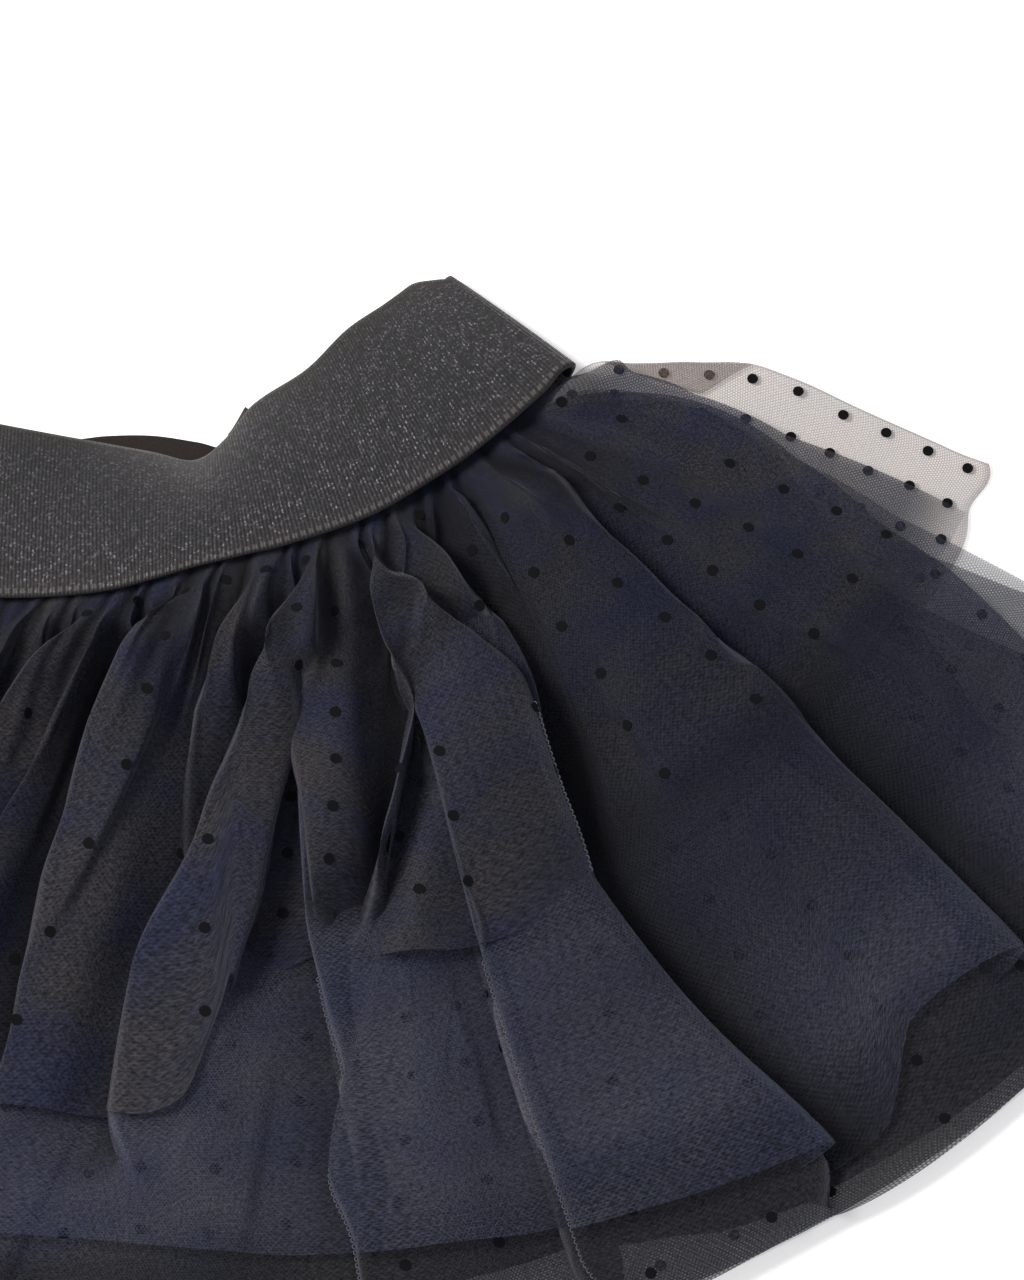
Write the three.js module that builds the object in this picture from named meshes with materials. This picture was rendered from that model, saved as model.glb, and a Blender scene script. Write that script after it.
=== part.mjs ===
// A child's gathered tulle skirt, lying flat on its back on a table: a wide ribbed elastic
// waistband, three tiers of tulle and a lining, each tier cut as a front and a back panel.
// Millimetres. X runs along the waistband, Y towards the waist, Z up from the table.
import * as THREE from "three";

// Driving dimensions
const BAND_WALL = 1.6;
const CLOTH_WALL = 1;
const GAP = 0.3;
const PITCH = CLOTH_WALL + GAP;
const HALF_SEAM = 118;
const SEAM_LAP = 6;
const GATHERS = 30;
const GATHER_PITCH = (2 * HALF_SEAM) / GATHERS;
const UPPER_LENGTH = 120;
const MIDDLE_LENGTH = 190;
const LINING_LENGTH = 205;
const LOWER_LENGTH = 225;
const STEP_LENGTH = 18;
const HEM_STEP = 15;

// Relief of the cloth that lies on top, measured above the plain stack of layers
const BODY_PUFF = 9;
const PUFF_RISE = 40;
const FOLD_HEIGHT = 6.5;
const FOLD_RISE = 34;
const LOW_FOLD_HEIGHT = 3.5;
const GATHER_HEIGHT = 0.9;
const GATHER_SWELL = 0.7;
const GATHER_FADE = 70;

// The free end of the upper tier at the wearer's side, swung out further than the fan
const FLAP_SWING_AT_SEAM = 39;
const FLAP_SWING_AT_HEM = 8;
const FLAP_COLUMNS = 6;

// Turns rows of numbers into rows with named columns.
function table(columns, rows) {
  const names = columns.split(" ");
  return rows.map((row) => Object.fromEntries(row.map((value, i) => [names[i], value])));
}

// The waistband, a row for each place along its lower seam: s along the seam from its middle,
// the seam itself, the upper edge of the front, how far the front swells between the two,
// and the upper edge of the back, which lies on the table.
const BAND = table("s x y z topX topY topZ swell backX backY", [
  [-118, -107.5, 32.5, 13.0, -82.5, 69.0, 4.0, 0.5, -82.5, 69.0],
  [-112, -102.5, 29.0, 13.4, -79.0, 70.0, 5.0, 1.0, -78.5, 69.4],
  [-90, -84.5, 16.5, 15.5, -68.0, 63.0, 9.0, 2.0, -66.5, 61.0],
  [-69, -67.0, 5.5, 17.5, -55.0, 57.0, 12.0, 2.0, -53.0, 56.0],
  [-49, -48.9, 0.6, 19.0, -40.1, 50.2, 14.0, 2.0, -38.0, 52.0],
  [-35, -35.2, -1.5, 19.6, -26.9, 45.8, 12.0, 2.5, -26.3, 49.5],
  [-22, -22.0, -2.4, 20.0, -16.6, 43.0, 9.0, 4.0, -15.6, 48.8],
  [-10, -10.5, -1.4, 20.0, -4.5, 39.5, 6.0, 5.0, -3.5, 46.7],
  [0, 0.0, 0.0, 20.0, 6.2, 35.6, 5.0, 6.0, 7.6, 42.9],
  [14, 14.0, 1.2, 20.0, 15.6, 39.7, 6.5, 5.0, 16.5, 39.5],
  [27, 27.3, 2.3, 20.0, 24.5, 47.7, 8.0, 4.0, 27.0, 43.5],
  [50, 49.7, 7.0, 18.5, 40.6, 54.9, 10.0, 3.0, 42.0, 52.5],
  [69, 67.1, 14.5, 17.0, 53.1, 64.7, 9.5, 2.5, 54.0, 62.0],
  [86, 82.0, 22.4, 15.5, 63.9, 72.2, 8.0, 2.0, 64.5, 70.5],
  [112, 102.8, 36.7, 13.5, 77.1, 78.7, 5.0, 1.0, 77.0, 78.0],
  [118, 107.2, 41.0, 13.0, 82.6, 78.0, 4.0, 0.5, 82.6, 78.0],
]);

// How the cloth fans out below the seam: degrees from straight down, positive to the right.
const FAN = table("s lean", [
  [-118, -61],
  [-102, -55],
  [-86, -48],
  [-69, -43],
  [-49, -38],
  [-35, -33],
  [-8, -28],
  [11, -22],
  [29, -14],
  [41, -4],
  [60, 6],
  [78, 22],
  [86, 35],
  [94, 46],
  [102, 54],
  [110, 58],
  [118, 61],
]);

// The largest folds, a row for each trough: its place along the seam, its place on the same
// scale at the upper hem, depth as a share of the full relief, half width, and where it
// starts and ends below the seam.
const FOLDS = table("top hem depth width from to", [
  [-105, -103, 0.5, 3.0, 0, 100],
  [-92, -90, 0.8, 3.5, 20, 225],
  [-80, -77, 0.6, 3.0, 0, 90],
  [-66, -68, 0.9, 3.5, 0, 225],
  [-52, -50, 0.7, 4.0, 0, 120],
  [-34, -33, 1.0, 4.0, 0, 90],
  [-22, -24, 0.4, 3.0, 60, 225],
  [-5, -7, 0.6, 3.5, 0, 150],
  [14, 13, 0.6, 3.0, 0, 130],
  [21, 20, 0.5, 2.5, 0, 14],
  [31, 31, 0.5, 3.0, 60, 225],
  [41, 44, 0.9, 3.5, 0, 80],
  [53, 54, 0.8, 3.0, 54, 225],
  [76, 68, 1.0, 4.0, 0, 150],
  [82, 83, 0.4, 2.0, 0, 12],
  [95, 88, 0.9, 3.0, 0, 225],
  [111, 114, 0.5, 2.5, 0, 14],
]);
const FOLD_END = 12;

// How far the upper tier's hem reaches past its length, along the seam.
const UPPER_HEM = table("s reach", [
  [-118, 0],
  [-60, -4],
  [-20, 2],
  [0, -6],
  [15, -3],
  [27, 8],
  [39, -14],
  [54, 6],
  [66, 5],
  [90, -3],
  [118, -4],
]);

// The panels from the table up. Each layer's side edges stand in by whole gathers from the
// layer outside it. puff, fold and gather say how much of the relief a layer takes up.
const LAYERS = [
  { name: "upper_tier_back", length: UPPER_LENGTH, inset: 0, puff: 0, fold: 0, gather: 0 },
  { name: "middle_tier_back", length: MIDDLE_LENGTH, inset: 1, puff: 0, fold: 0, gather: 0 },
  { name: "lower_tier_back", length: LOWER_LENGTH, inset: 2, puff: 0, fold: 0, gather: 0 },
  { name: "lining_back", length: LINING_LENGTH, inset: 3, puff: 0, fold: 0, gather: 0 },
  { name: "lining_front", length: LINING_LENGTH, inset: 3, puff: 0.22, fold: 0.1, gather: 0 },
  { name: "lower_tier_front", length: LOWER_LENGTH, inset: 2, puff: 0.48, fold: 0.4, gather: 0.2 },
  { name: "middle_tier_front", length: MIDDLE_LENGTH, inset: 1, puff: 0.74, fold: 0.7, gather: 0.5 },
  { name: "upper_tier_front", length: UPPER_LENGTH, inset: 0, puff: 1, fold: 1, gather: 1 },
];
const TOP_LAYER = LAYERS.length - 1;

// Distances below the seam where the stack of layers changes height
const STACK_ROWS = [
  -SEAM_LAP,
  0,
  STEP_LENGTH,
  66,
  UPPER_LENGTH,
  UPPER_LENGTH + HEM_STEP,
  MIDDLE_LENGTH,
  LINING_LENGTH,
  LOWER_LENGTH,
];

const FABRICS = {
  elastic: new THREE.MeshStandardMaterial({ color: "#48464a", roughness: 0.6, metalness: 0.25 }),
  dotted: new THREE.MeshStandardMaterial({ color: "#3a383a", roughness: 0.9, metalness: 0 }),
  plain: new THREE.MeshStandardMaterial({ color: "#2d303c", roughness: 0.9, metalness: 0 }),
  lining: new THREE.MeshStandardMaterial({ color: "#16171d", roughness: 0.8, metalness: 0 }),
};

// A share from 0 to 1 that rises in a straight line between two places.
function ramp(from, to, value) {
  return Math.min(Math.max((value - from) / (to - from), 0), 1);
}

function ease(from, to, value) {
  const t = ramp(from, to, value);
  return t * t * (3 - 2 * t);
}

// Reads one column of a table at place s, on a smooth curve through its rows.
function read(rows, column, s) {
  const last = rows.length - 1;
  let i = 0;
  while (i < last - 1 && s > rows[i + 1].s) i += 1;
  const before = rows[Math.max(i - 1, 0)];
  const a = rows[i];
  const b = rows[i + 1];
  const after = rows[Math.min(i + 2, last)];
  const span = b.s - a.s;
  const t = (s - a.s) / span;
  const slopeA = ((b[column] - before[column]) / (b.s - before.s)) * span;
  const slopeB = ((after[column] - a[column]) / (after.s - a.s)) * span;
  const rise = b[column] - a[column];
  const square = t * t;
  const cube = square * t;
  const level = a[column] + (3 * square - 2 * cube) * rise;
  return level + (cube - 2 * square + t) * slopeA + (cube - square) * slopeB;
}

// A point of the waistband's middle surface: across is 0 at the seam and 1 at the upper edge.
function bandFront(s, across) {
  const swell = 4 * across * (1 - across) * read(BAND, "swell", s);
  return new THREE.Vector3(
    THREE.MathUtils.lerp(read(BAND, "x", s), read(BAND, "topX", s), across),
    THREE.MathUtils.lerp(read(BAND, "y", s), read(BAND, "topY", s), across),
    THREE.MathUtils.lerp(read(BAND, "z", s), read(BAND, "topZ", s), across) + swell,
  );
}

function bandBack(s, across) {
  return new THREE.Vector3(
    THREE.MathUtils.lerp(read(BAND, "x", s), read(BAND, "backX", s), across),
    THREE.MathUtils.lerp(read(BAND, "y", s), read(BAND, "backY", s), across),
    BAND_WALL / 2,
  );
}

// The rounded side fold that joins front and back: turn is 0 at the front and PI at the back.
function bandFold(side, turn, across) {
  const front = bandFront(side * HALF_SEAM, across);
  const back = bandBack(side * HALF_SEAM, across);
  const edge = bandFront(side * HALF_SEAM, 1).sub(bandFront(side * HALF_SEAM, 0));
  const outward = new THREE.Vector3(edge.y, -edge.x, 0).normalize().multiplyScalar(side);
  const radius = (front.z - back.z) / 2;
  return front
    .lerp(back, 0.5)
    .setZ(back.z + radius + radius * Math.cos(turn))
    .addScaledVector(outward, radius * Math.sin(turn));
}

// The corners of a closed wall, from a grid of points of its middle surface. The wall is
// open at its four edges unless the grid runs round, and its rims are flat strips.
function wall(grid, thickness, runsRound) {
  const columns = grid.length;
  const rows = grid[0].length;
  const left = (i) => (runsRound ? (i + columns - 1) % columns : Math.max(i - 1, 0));
  const right = (i) => (runsRound ? (i + 1) % columns : Math.min(i + 1, columns - 1));
  const positions = [];
  for (const side of [0.5, -0.5]) {
    for (let i = 0; i < columns; i += 1) {
      for (let j = 0; j < rows; j += 1) {
        const along = grid[right(i)][j].clone().sub(grid[left(i)][j]);
        const up = grid[i][Math.min(j + 1, rows - 1)].clone().sub(grid[i][Math.max(j - 1, 0)]);
        const normal = along.cross(up).normalize();
        positions.push(...grid[i][j].clone().addScaledVector(normal, side * thickness));
      }
    }
  }
  const outer = (i, j) => (i % columns) * rows + j;
  const inner = (i, j) => columns * rows + outer(i, j);
  const faces = [];
  const quad = (a, b, c, d) => faces.push(a, b, c, a, c, d);
  const spans = runsRound ? columns : columns - 1;
  for (let i = 0; i < spans; i += 1) {
    for (let j = 0; j < rows - 1; j += 1) {
      quad(outer(i, j), outer(i + 1, j), outer(i + 1, j + 1), outer(i, j + 1));
      quad(inner(i, j), inner(i, j + 1), inner(i + 1, j + 1), inner(i + 1, j));
    }
    quad(inner(i, 0), inner(i + 1, 0), outer(i + 1, 0), outer(i, 0));
    const top = rows - 1;
    quad(outer(i, top), outer(i + 1, top), inner(i + 1, top), inner(i, top));
  }
  if (!runsRound) {
    const end = columns - 1;
    for (let j = 0; j < rows - 1; j += 1) {
      quad(inner(0, j), outer(0, j), outer(0, j + 1), inner(0, j + 1));
      quad(outer(end, j), inner(end, j), inner(end, j + 1), outer(end, j + 1));
    }
  }
  const geometry = new THREE.BufferGeometry();
  geometry.setAttribute("position", new THREE.Float32BufferAttribute(positions, 3));
  geometry.setIndex(faces);
  return geometry;
}

// The waistband is one ring of elastic: front, side fold, back, side fold.
function waistband() {
  const frontSpans = 40;
  const backSpans = 20;
  const foldSpans = 5;
  const acrossSpans = 5;
  const places = [];
  for (let i = 0; i <= frontSpans; i += 1) {
    const s = HALF_SEAM * ((2 * i) / frontSpans - 1);
    places.push((across) => bandFront(s, across));
  }
  for (let i = 1; i < foldSpans; i += 1) {
    places.push((across) => bandFold(1, (Math.PI * i) / foldSpans, across));
  }
  for (let i = 0; i <= backSpans; i += 1) {
    const s = HALF_SEAM * (1 - (2 * i) / backSpans);
    places.push((across) => bandBack(s, across));
  }
  for (let i = foldSpans - 1; i > 0; i -= 1) {
    places.push((across) => bandFold(-1, (Math.PI * i) / foldSpans, across));
  }
  const shares = Array.from({ length: acrossSpans + 1 }, (_, j) => j / acrossSpans);
  const grid = places.map((place) => shares.map(place));
  return wall(grid, BAND_WALL, true);
}

// The seam allowance where the elastic's ends are joined, flat inside the front and
// standing a little above its upper edge.
function waistbandJoin() {
  const firstPlace = 14;
  const width = 9;
  const acrossFrom = 0.2;
  const acrossTo = 1.05;
  const depth = BAND_WALL / 2 + GAP + CLOTH_WALL / 2;
  const widthSpans = 3;
  const acrossSpans = 6;
  const reach = 0.01;
  const grid = [];
  for (let i = 0; i <= widthSpans; i += 1) {
    const s = firstPlace + (width * i) / widthSpans;
    const column = [];
    for (let j = 0; j <= acrossSpans; j += 1) {
      const across = acrossFrom + ((acrossTo - acrossFrom) * j) / acrossSpans;
      const point = bandFront(s, across);
      const along = bandFront(s + 1, across).sub(point);
      const up = bandFront(s, across + reach).sub(point);
      column.push(point.addScaledVector(along.cross(up).normalize(), -depth));
    }
    grid.push(column);
  }
  return wall(grid, CLOTH_WALL, false);
}

// Where a point of the cloth lies in plan: s along the seam, d below it.
function plan(s, d, swing) {
  const seam = new THREE.Vector3(read(BAND, "x", s), read(BAND, "y", s), 0);
  if (d < 0) {
    const top = new THREE.Vector3(read(BAND, "topX", s), read(BAND, "topY", s), 0);
    return seam.addScaledVector(top.sub(seam).normalize(), -d);
  }
  const lean = THREE.MathUtils.degToRad(read(FAN, "lean", s) + swing);
  return seam.addScaledVector(new THREE.Vector3(Math.sin(lean), -Math.cos(lean), 0), d);
}

// How far the free end of the upper tier is swung out, in degrees.
function flapSwing(s, d) {
  const share = ramp(HALF_SEAM - GATHER_PITCH, HALF_SEAM, s);
  const swing = THREE.MathUtils.lerp(FLAP_SWING_AT_SEAM, FLAP_SWING_AT_HEM, ramp(0, UPPER_LENGTH, d));
  return share * swing;
}

// Height of a layer's middle surface at one crossing of the gathers and the stack's rows,
// where it rests on the layers that are present under it.
function stackNode(level, column, row) {
  const d = STACK_ROWS[row];
  const fromSide = Math.min(column, GATHERS - column);
  const present = (layer) => layer.inset <= fromSide && d <= layer.length;
  const under = LAYERS.slice(0, level).filter(present).length;
  const onBand = d <= 0 ? BAND_WALL + GAP : 0;
  return CLOTH_WALL / 2 + under * PITCH + onBand;
}

// The same height anywhere between those crossings.
function stackHeight(level, s, d) {
  const place = (s + HALF_SEAM) / GATHER_PITCH;
  const column = Math.min(Math.floor(place + 1e-6), GATHERS - 1);
  let row = 0;
  while (row < STACK_ROWS.length - 2 && d > STACK_ROWS[row + 1]) row += 1;
  const across = place - column;
  const down = (d - STACK_ROWS[row]) / (STACK_ROWS[row + 1] - STACK_ROWS[row]);
  const { lerp } = THREE.MathUtils;
  return lerp(
    lerp(stackNode(level, column, row), stackNode(level, column + 1, row), across),
    lerp(stackNode(level, column, row + 1), stackNode(level, column + 1, row + 1), across),
    down,
  );
}

// How far the front lifts off the plain stack: at the seam it fills the band, below it swells.
function puff(s, d) {
  const inside = 1 - ramp(0, HALF_SEAM - 3 * GATHER_PITCH, Math.abs(s)) ** 3;
  const bandUnderside = read(BAND, "z", s) - BAND_WALL / 2 - GAP;
  const stackTop = stackHeight(TOP_LAYER, s, 0) + CLOTH_WALL / 2 + GATHER_HEIGHT;
  const atSeam = Math.max(bandUnderside - stackTop, 0) * inside;
  const body = THREE.MathUtils.lerp(atSeam, BODY_PUFF * inside, ease(0, PUFF_RISE, d));
  const fall = 1 - 0.3 * ease(80, UPPER_LENGTH, d) - 0.65 * ease(UPPER_LENGTH, LOWER_LENGTH, d);
  return body * fall;
}

// The relief of the large folds: full on a crest and nothing at the foot of a deep trough.
function folds(s, d) {
  const height = THREE.MathUtils.lerp(
    FOLD_HEIGHT * ease(0, FOLD_RISE, d),
    LOW_FOLD_HEIGHT,
    ease(MIDDLE_LENGTH, LOWER_LENGTH, d),
  );
  const inside = 1 - ramp(HALF_SEAM - 4 * GATHER_PITCH, HALF_SEAM - GATHER_PITCH, Math.abs(s));
  let share = 1;
  for (const fold of FOLDS) {
    const middle = THREE.MathUtils.lerp(fold.top, fold.hem, d / UPPER_LENGTH);
    const offset = (s - middle) / fold.width;
    const starts = fold.from > 0 ? ease(fold.from - FOLD_END, fold.from + FOLD_END, d) : 1;
    const ends = 1 - ease(fold.to - FOLD_END, fold.to + FOLD_END, d);
    share *= 1 - fold.depth * starts * ends * Math.exp(-offset * offset);
  }
  return height * inside * share;
}

// The lowest of the fold relief within reach, so that a coarser layer stays under a finer one.
function lowestFolds(s, d, reach) {
  const steps = 4;
  let lowest = folds(s, d);
  for (let k = -steps; k <= steps; k += 1) {
    lowest = Math.min(lowest, folds(s + (reach * k) / steps, d));
  }
  return lowest;
}

// The small gathers at the seam, one for each pitch, which fade out down the skirt.
function gathers(s, d) {
  const place = (s + HALF_SEAM) / GATHER_PITCH;
  const wave = 0.5 - 0.5 * Math.cos(2 * Math.PI * place);
  const swell = GATHER_HEIGHT + GATHER_SWELL * ease(0, STEP_LENGTH, d);
  return wave * swell * (1 - ease(STEP_LENGTH, GATHER_FADE, d));
}

// Places along the seam where a panel has a column of points.
function columnPlaces(inset, perGather, lastPerGather) {
  const places = [];
  for (let cell = inset; cell < GATHERS - inset; cell += 1) {
    const count = cell === GATHERS - 1 ? lastPerGather : perGather;
    for (let k = 0; k < count; k += 1) places.push(cell + k / count);
  }
  places.push(GATHERS - inset);
  return places.map((place) => place * GATHER_PITCH - HALF_SEAM);
}

// A panel of cloth: extraRows adds rows of points between those where the stack steps.
function panel(level, perGather, extraRows) {
  const layer = LAYERS[level];
  const isFlap = level === 0;
  const isTop = level === TOP_LAYER;
  const places = columnPlaces(layer.inset, perGather, isFlap ? FLAP_COLUMNS : perGather);
  const rows = STACK_ROWS.concat(extraRows).filter((d) => d <= layer.length);
  rows.sort((a, b) => b - a);
  const reach = isTop ? 0 : GATHER_PITCH / perGather;
  const grid = places.map((s) =>
    rows.map((row) => {
      const d = isTop && row === layer.length ? row + read(UPPER_HEM, "reach", s) : row;
      const point = plan(s, d, isFlap ? flapSwing(s, d) : 0);
      const relief = layer.fold ? layer.fold * lowestFolds(s, d, reach) : 0;
      const lift = layer.puff * puff(s, d) + relief + layer.gather * gathers(s, d);
      return point.setZ(stackHeight(level, s, d) + lift);
    }),
  );
  return wall(grid, CLOTH_WALL, false);
}

// The parts, still in the working frame whose origin is the middle of the seam
const pieces = [
  ["waistband", waistband(), FABRICS.elastic],
  ["waistband_join", waistbandJoin(), FABRICS.elastic],
  ["upper_tier_back", panel(0, 1, []), FABRICS.dotted],
  ["middle_tier_back", panel(1, 1, []), FABRICS.plain],
  ["lower_tier_back", panel(2, 1, []), FABRICS.dotted],
  ["lining_back", panel(3, 1, []), FABRICS.lining],
  ["lining_front", panel(4, 1, []), FABRICS.lining],
  ["lower_tier_front", panel(5, 2, [160]), FABRICS.dotted],
  ["middle_tier_front", panel(6, 2, [42, 92, 155]), FABRICS.plain],
  ["upper_tier_front", panel(7, 4, [9, 34, 50, 82, 98]), FABRICS.dotted],
];

// The part's origin is the middle of its box, on the table.
const box = new THREE.Box3();
for (const [, geometry] of pieces) {
  geometry.computeBoundingBox();
  box.union(geometry.boundingBox);
}
const middle = box.getCenter(new THREE.Vector3());

const skirt = new THREE.Group();
for (const [name, geometry, material] of pieces) {
  const mesh = new THREE.Mesh(geometry, material);
  mesh.name = name;
  skirt.add(mesh);
}
skirt.position.set(-middle.x, -middle.y, 0);

const part = new THREE.Group();
part.add(skirt);

export default part;
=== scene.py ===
# %% [markdown]
# A child's tulle skirt, lying flat on its back. A wide glitter elastic carries three gathered
# tiers of fine net over a dark lining: dotted tulle on top, plain tulle in the middle, and
# dotted tulle again underneath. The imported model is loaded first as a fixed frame, and every
# piece below takes its place from it.

# %% Load the frame
import math
import bpy
import numpy as np
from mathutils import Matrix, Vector


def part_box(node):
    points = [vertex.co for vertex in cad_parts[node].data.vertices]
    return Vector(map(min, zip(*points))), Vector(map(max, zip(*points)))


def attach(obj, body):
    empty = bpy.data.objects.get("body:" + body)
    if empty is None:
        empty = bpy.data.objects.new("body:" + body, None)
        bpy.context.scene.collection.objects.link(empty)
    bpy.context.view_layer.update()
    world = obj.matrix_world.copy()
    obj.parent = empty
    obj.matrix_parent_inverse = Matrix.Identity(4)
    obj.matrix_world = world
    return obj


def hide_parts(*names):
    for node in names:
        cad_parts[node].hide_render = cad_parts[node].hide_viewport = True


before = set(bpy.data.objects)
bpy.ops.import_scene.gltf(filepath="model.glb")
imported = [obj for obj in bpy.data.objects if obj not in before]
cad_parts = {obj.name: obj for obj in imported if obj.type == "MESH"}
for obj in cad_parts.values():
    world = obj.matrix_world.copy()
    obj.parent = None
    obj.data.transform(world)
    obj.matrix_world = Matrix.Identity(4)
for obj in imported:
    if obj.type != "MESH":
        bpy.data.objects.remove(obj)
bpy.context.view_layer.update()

# %% [markdown]
# The cutter's sizes, in millimetres. All shapes are worked out in a working frame whose origin
# is the middle of the gathered seam, X along the band and Y towards the waist, because that is
# how a skirt is measured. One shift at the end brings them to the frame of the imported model.

# %% Sizes
MM = 0.001
BAND_WALL = 1.6
NET_WALL = 1.0
GAP = 0.3
PITCH = NET_WALL + GAP
HALF_SEAM = 118.0
SEAM_LAP = 6.0
GATHERS = 30
GATHER_PITCH = 2 * HALF_SEAM / GATHERS
UPPER_LENGTH, MIDDLE_LENGTH, LINING_LENGTH, LOWER_LENGTH = 120.0, 190.0, 205.0, 225.0
STEP_LENGTH, HEM_STEP = 18.0, 15.0
BODY_PUFF, PUFF_RISE = 9.0, 40.0
FOLD_HEIGHT, FOLD_RISE, LOW_FOLD_HEIGHT = 11.0, 26.0, 7.0
FULL_AT = 0.7  # how far down its length a tier lies with no spare cloth


# %% Tables and the curves through their rows
def table(columns, rows):
    values = np.array(rows, float)
    return {name: values[:, i] for i, name in enumerate(columns.split())}


def read(rows, column, s):
    """One column at place s, on a smooth curve through the rows."""
    keys, values = rows["s"], rows[column]
    i = np.clip(np.searchsorted(keys, s, side="right") - 1, 0, len(keys) - 2)
    before, after = np.maximum(i - 1, 0), np.minimum(i + 2, len(keys) - 1)
    span = keys[i + 1] - keys[i]
    t = (s - keys[i]) / span
    slope_a = (values[i + 1] - values[before]) / (keys[i + 1] - keys[before]) * span
    slope_b = (values[after] - values[i]) / (keys[after] - keys[i]) * span
    level = values[i] + (3 * t**2 - 2 * t**3) * (values[i + 1] - values[i])
    return level + (t**3 - 2 * t**2 + t) * slope_a + (t**3 - t**2) * slope_b


def ramp(low, high, value):
    return np.clip((value - low) / (high - low), 0, 1)


def ease(low, high, value):
    t = ramp(low, high, value)
    return t * t * (3 - 2 * t)


def blend(a, b, share):
    return a + (b - a) * share


# %% [markdown]
# The waistband and the fan are what everything hangs from. Each row of the first table is one
# place along the gathered seam: the seam itself, the upper edge of the front, how far the front
# swells between them, and the upper edge of the back on the table. The second says which way
# the cloth runs from the seam, in degrees from straight down.

# %% The band and the fan
BAND = table("s x y z topX topY topZ swell backX backY", [
    [-118, -107.5, 32.5, 13.0, -82.5, 69.0, 4.0, 0.5, -82.5, 69.0],
    [-112, -102.5, 29.0, 13.4, -79.0, 70.0, 5.0, 1.0, -78.5, 69.4],
    [-90, -84.5, 16.5, 15.5, -68.0, 63.0, 9.0, 2.0, -66.5, 61.0],
    [-69, -67.0, 5.5, 17.5, -55.0, 57.0, 12.0, 2.0, -53.0, 56.0],
    [-49, -48.9, 0.6, 19.0, -40.1, 50.2, 14.0, 2.0, -38.0, 52.0],
    [-35, -35.2, -1.5, 19.6, -26.9, 45.8, 12.0, 2.5, -26.3, 49.5],
    [-22, -22.0, -2.4, 20.0, -16.6, 43.0, 9.0, 4.0, -15.6, 48.8],
    [-10, -10.5, -1.4, 20.0, -4.5, 39.5, 6.0, 5.0, -3.5, 46.7],
    [0, 0.0, 0.0, 20.0, 6.2, 35.6, 5.0, 6.0, 7.6, 42.9],
    [14, 14.0, 1.2, 20.0, 15.6, 39.7, 6.5, 5.0, 16.5, 39.5],
    [27, 27.3, 2.3, 20.0, 24.5, 47.7, 8.0, 4.0, 27.0, 43.5],
    [50, 49.7, 7.0, 18.5, 40.6, 54.9, 10.0, 3.0, 42.0, 52.5],
    [69, 67.1, 14.5, 17.0, 53.1, 64.7, 9.5, 2.5, 54.0, 62.0],
    [86, 82.0, 22.4, 15.5, 64.4, 71.0, 8.0, 2.0, 64.5, 70.0],
    [112, 102.8, 36.7, 13.5, 75.8, 78.6, 5.0, 1.0, 75.8, 78.4],
    [118, 107.2, 41.0, 13.0, 78.8, 81.0, 4.0, 0.5, 78.8, 81.0],
])
CORNER_DROP, CORNER_RUN = 0.11, 16.0
FAN = table("s lean", [
    [-118, -61], [-102, -55], [-86, -48], [-69, -43], [-49, -38], [-35, -33], [-8, -28],
    [11, -22], [29, -14], [41, -4], [60, 6], [78, 22], [86, 35], [94, 46], [102, 54],
    [110, 58], [118, 61],
])


def corner(s, across):
    """The upper corners of the band are soft, so the cloth there ends a little lower."""
    return across * (1 - CORNER_DROP * ramp(HALF_SEAM - CORNER_RUN, HALF_SEAM, abs(s)) ** 2)


def band_front(s, across):
    across = corner(s, across)
    swell = 4 * across * (1 - across) * read(BAND, "swell", s)
    return np.stack([
        blend(read(BAND, "x", s), read(BAND, "topX", s), across),
        blend(read(BAND, "y", s), read(BAND, "topY", s), across),
        blend(read(BAND, "z", s), read(BAND, "topZ", s), across) + swell,
    ], axis=-1)


def band_back(s, across):
    across = corner(s, across)
    return np.stack([
        blend(read(BAND, "x", s), read(BAND, "backX", s), across),
        blend(read(BAND, "y", s), read(BAND, "backY", s), across),
        np.full(np.broadcast(s, across).shape, BAND_WALL / 2),
    ], axis=-1)


def band_fold(side, turn, across):
    """The rounded side fold: turn runs from 0 at the front to pi at the back."""
    end = np.full(np.broadcast(turn, across).shape, side * HALF_SEAM)
    front, back = band_front(end, across), band_back(end, across)
    edge = band_front(side * HALF_SEAM, 1.0) - band_front(side * HALF_SEAM, 0.0)
    outward = np.array([edge[1], -edge[0], 0]) * side / math.hypot(edge[0], edge[1])
    radius = (front[..., 2] - back[..., 2]) / 2
    point = (front + back) / 2 + outward * (radius * np.sin(turn))[..., None]
    point[..., 2] = back[..., 2] + radius * (1 + np.cos(turn))
    return point


# %% [markdown]
# Cloth is easiest to make as a grid: columns along the seam, rows down the skirt. This helper
# turns a grid of points into a mesh whose UV map holds the cloth's own flat sizes in metres,
# so that the net, the knit and the dots all follow the cloth and not the world.

# %% Meshes from grids
def normals_of(points, runs_round=False):
    if runs_round:
        along = np.roll(points, -1, 0) - np.roll(points, 1, 0)
    else:
        along = np.gradient(points, axis=0)
    normal = np.cross(along, np.gradient(points, axis=1))
    return normal / np.linalg.norm(normal, axis=-1, keepdims=True)


def mesh_object(name, vertices, faces, uvs):
    mesh = bpy.data.meshes.new(name)
    mesh.from_pydata(vertices.tolist(), [], faces.tolist())
    layer = mesh.uv_layers.new(name="UVMap")
    loops = np.empty(len(mesh.loops), np.int32)
    mesh.loops.foreach_get("vertex_index", loops)
    layer.data.foreach_set("uv", uvs[loops].astype(np.float32).ravel())
    mesh.shade_smooth()
    mesh.validate()
    made = bpy.data.objects.new(name, mesh)
    bpy.context.scene.collection.objects.link(made)
    return made


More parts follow.
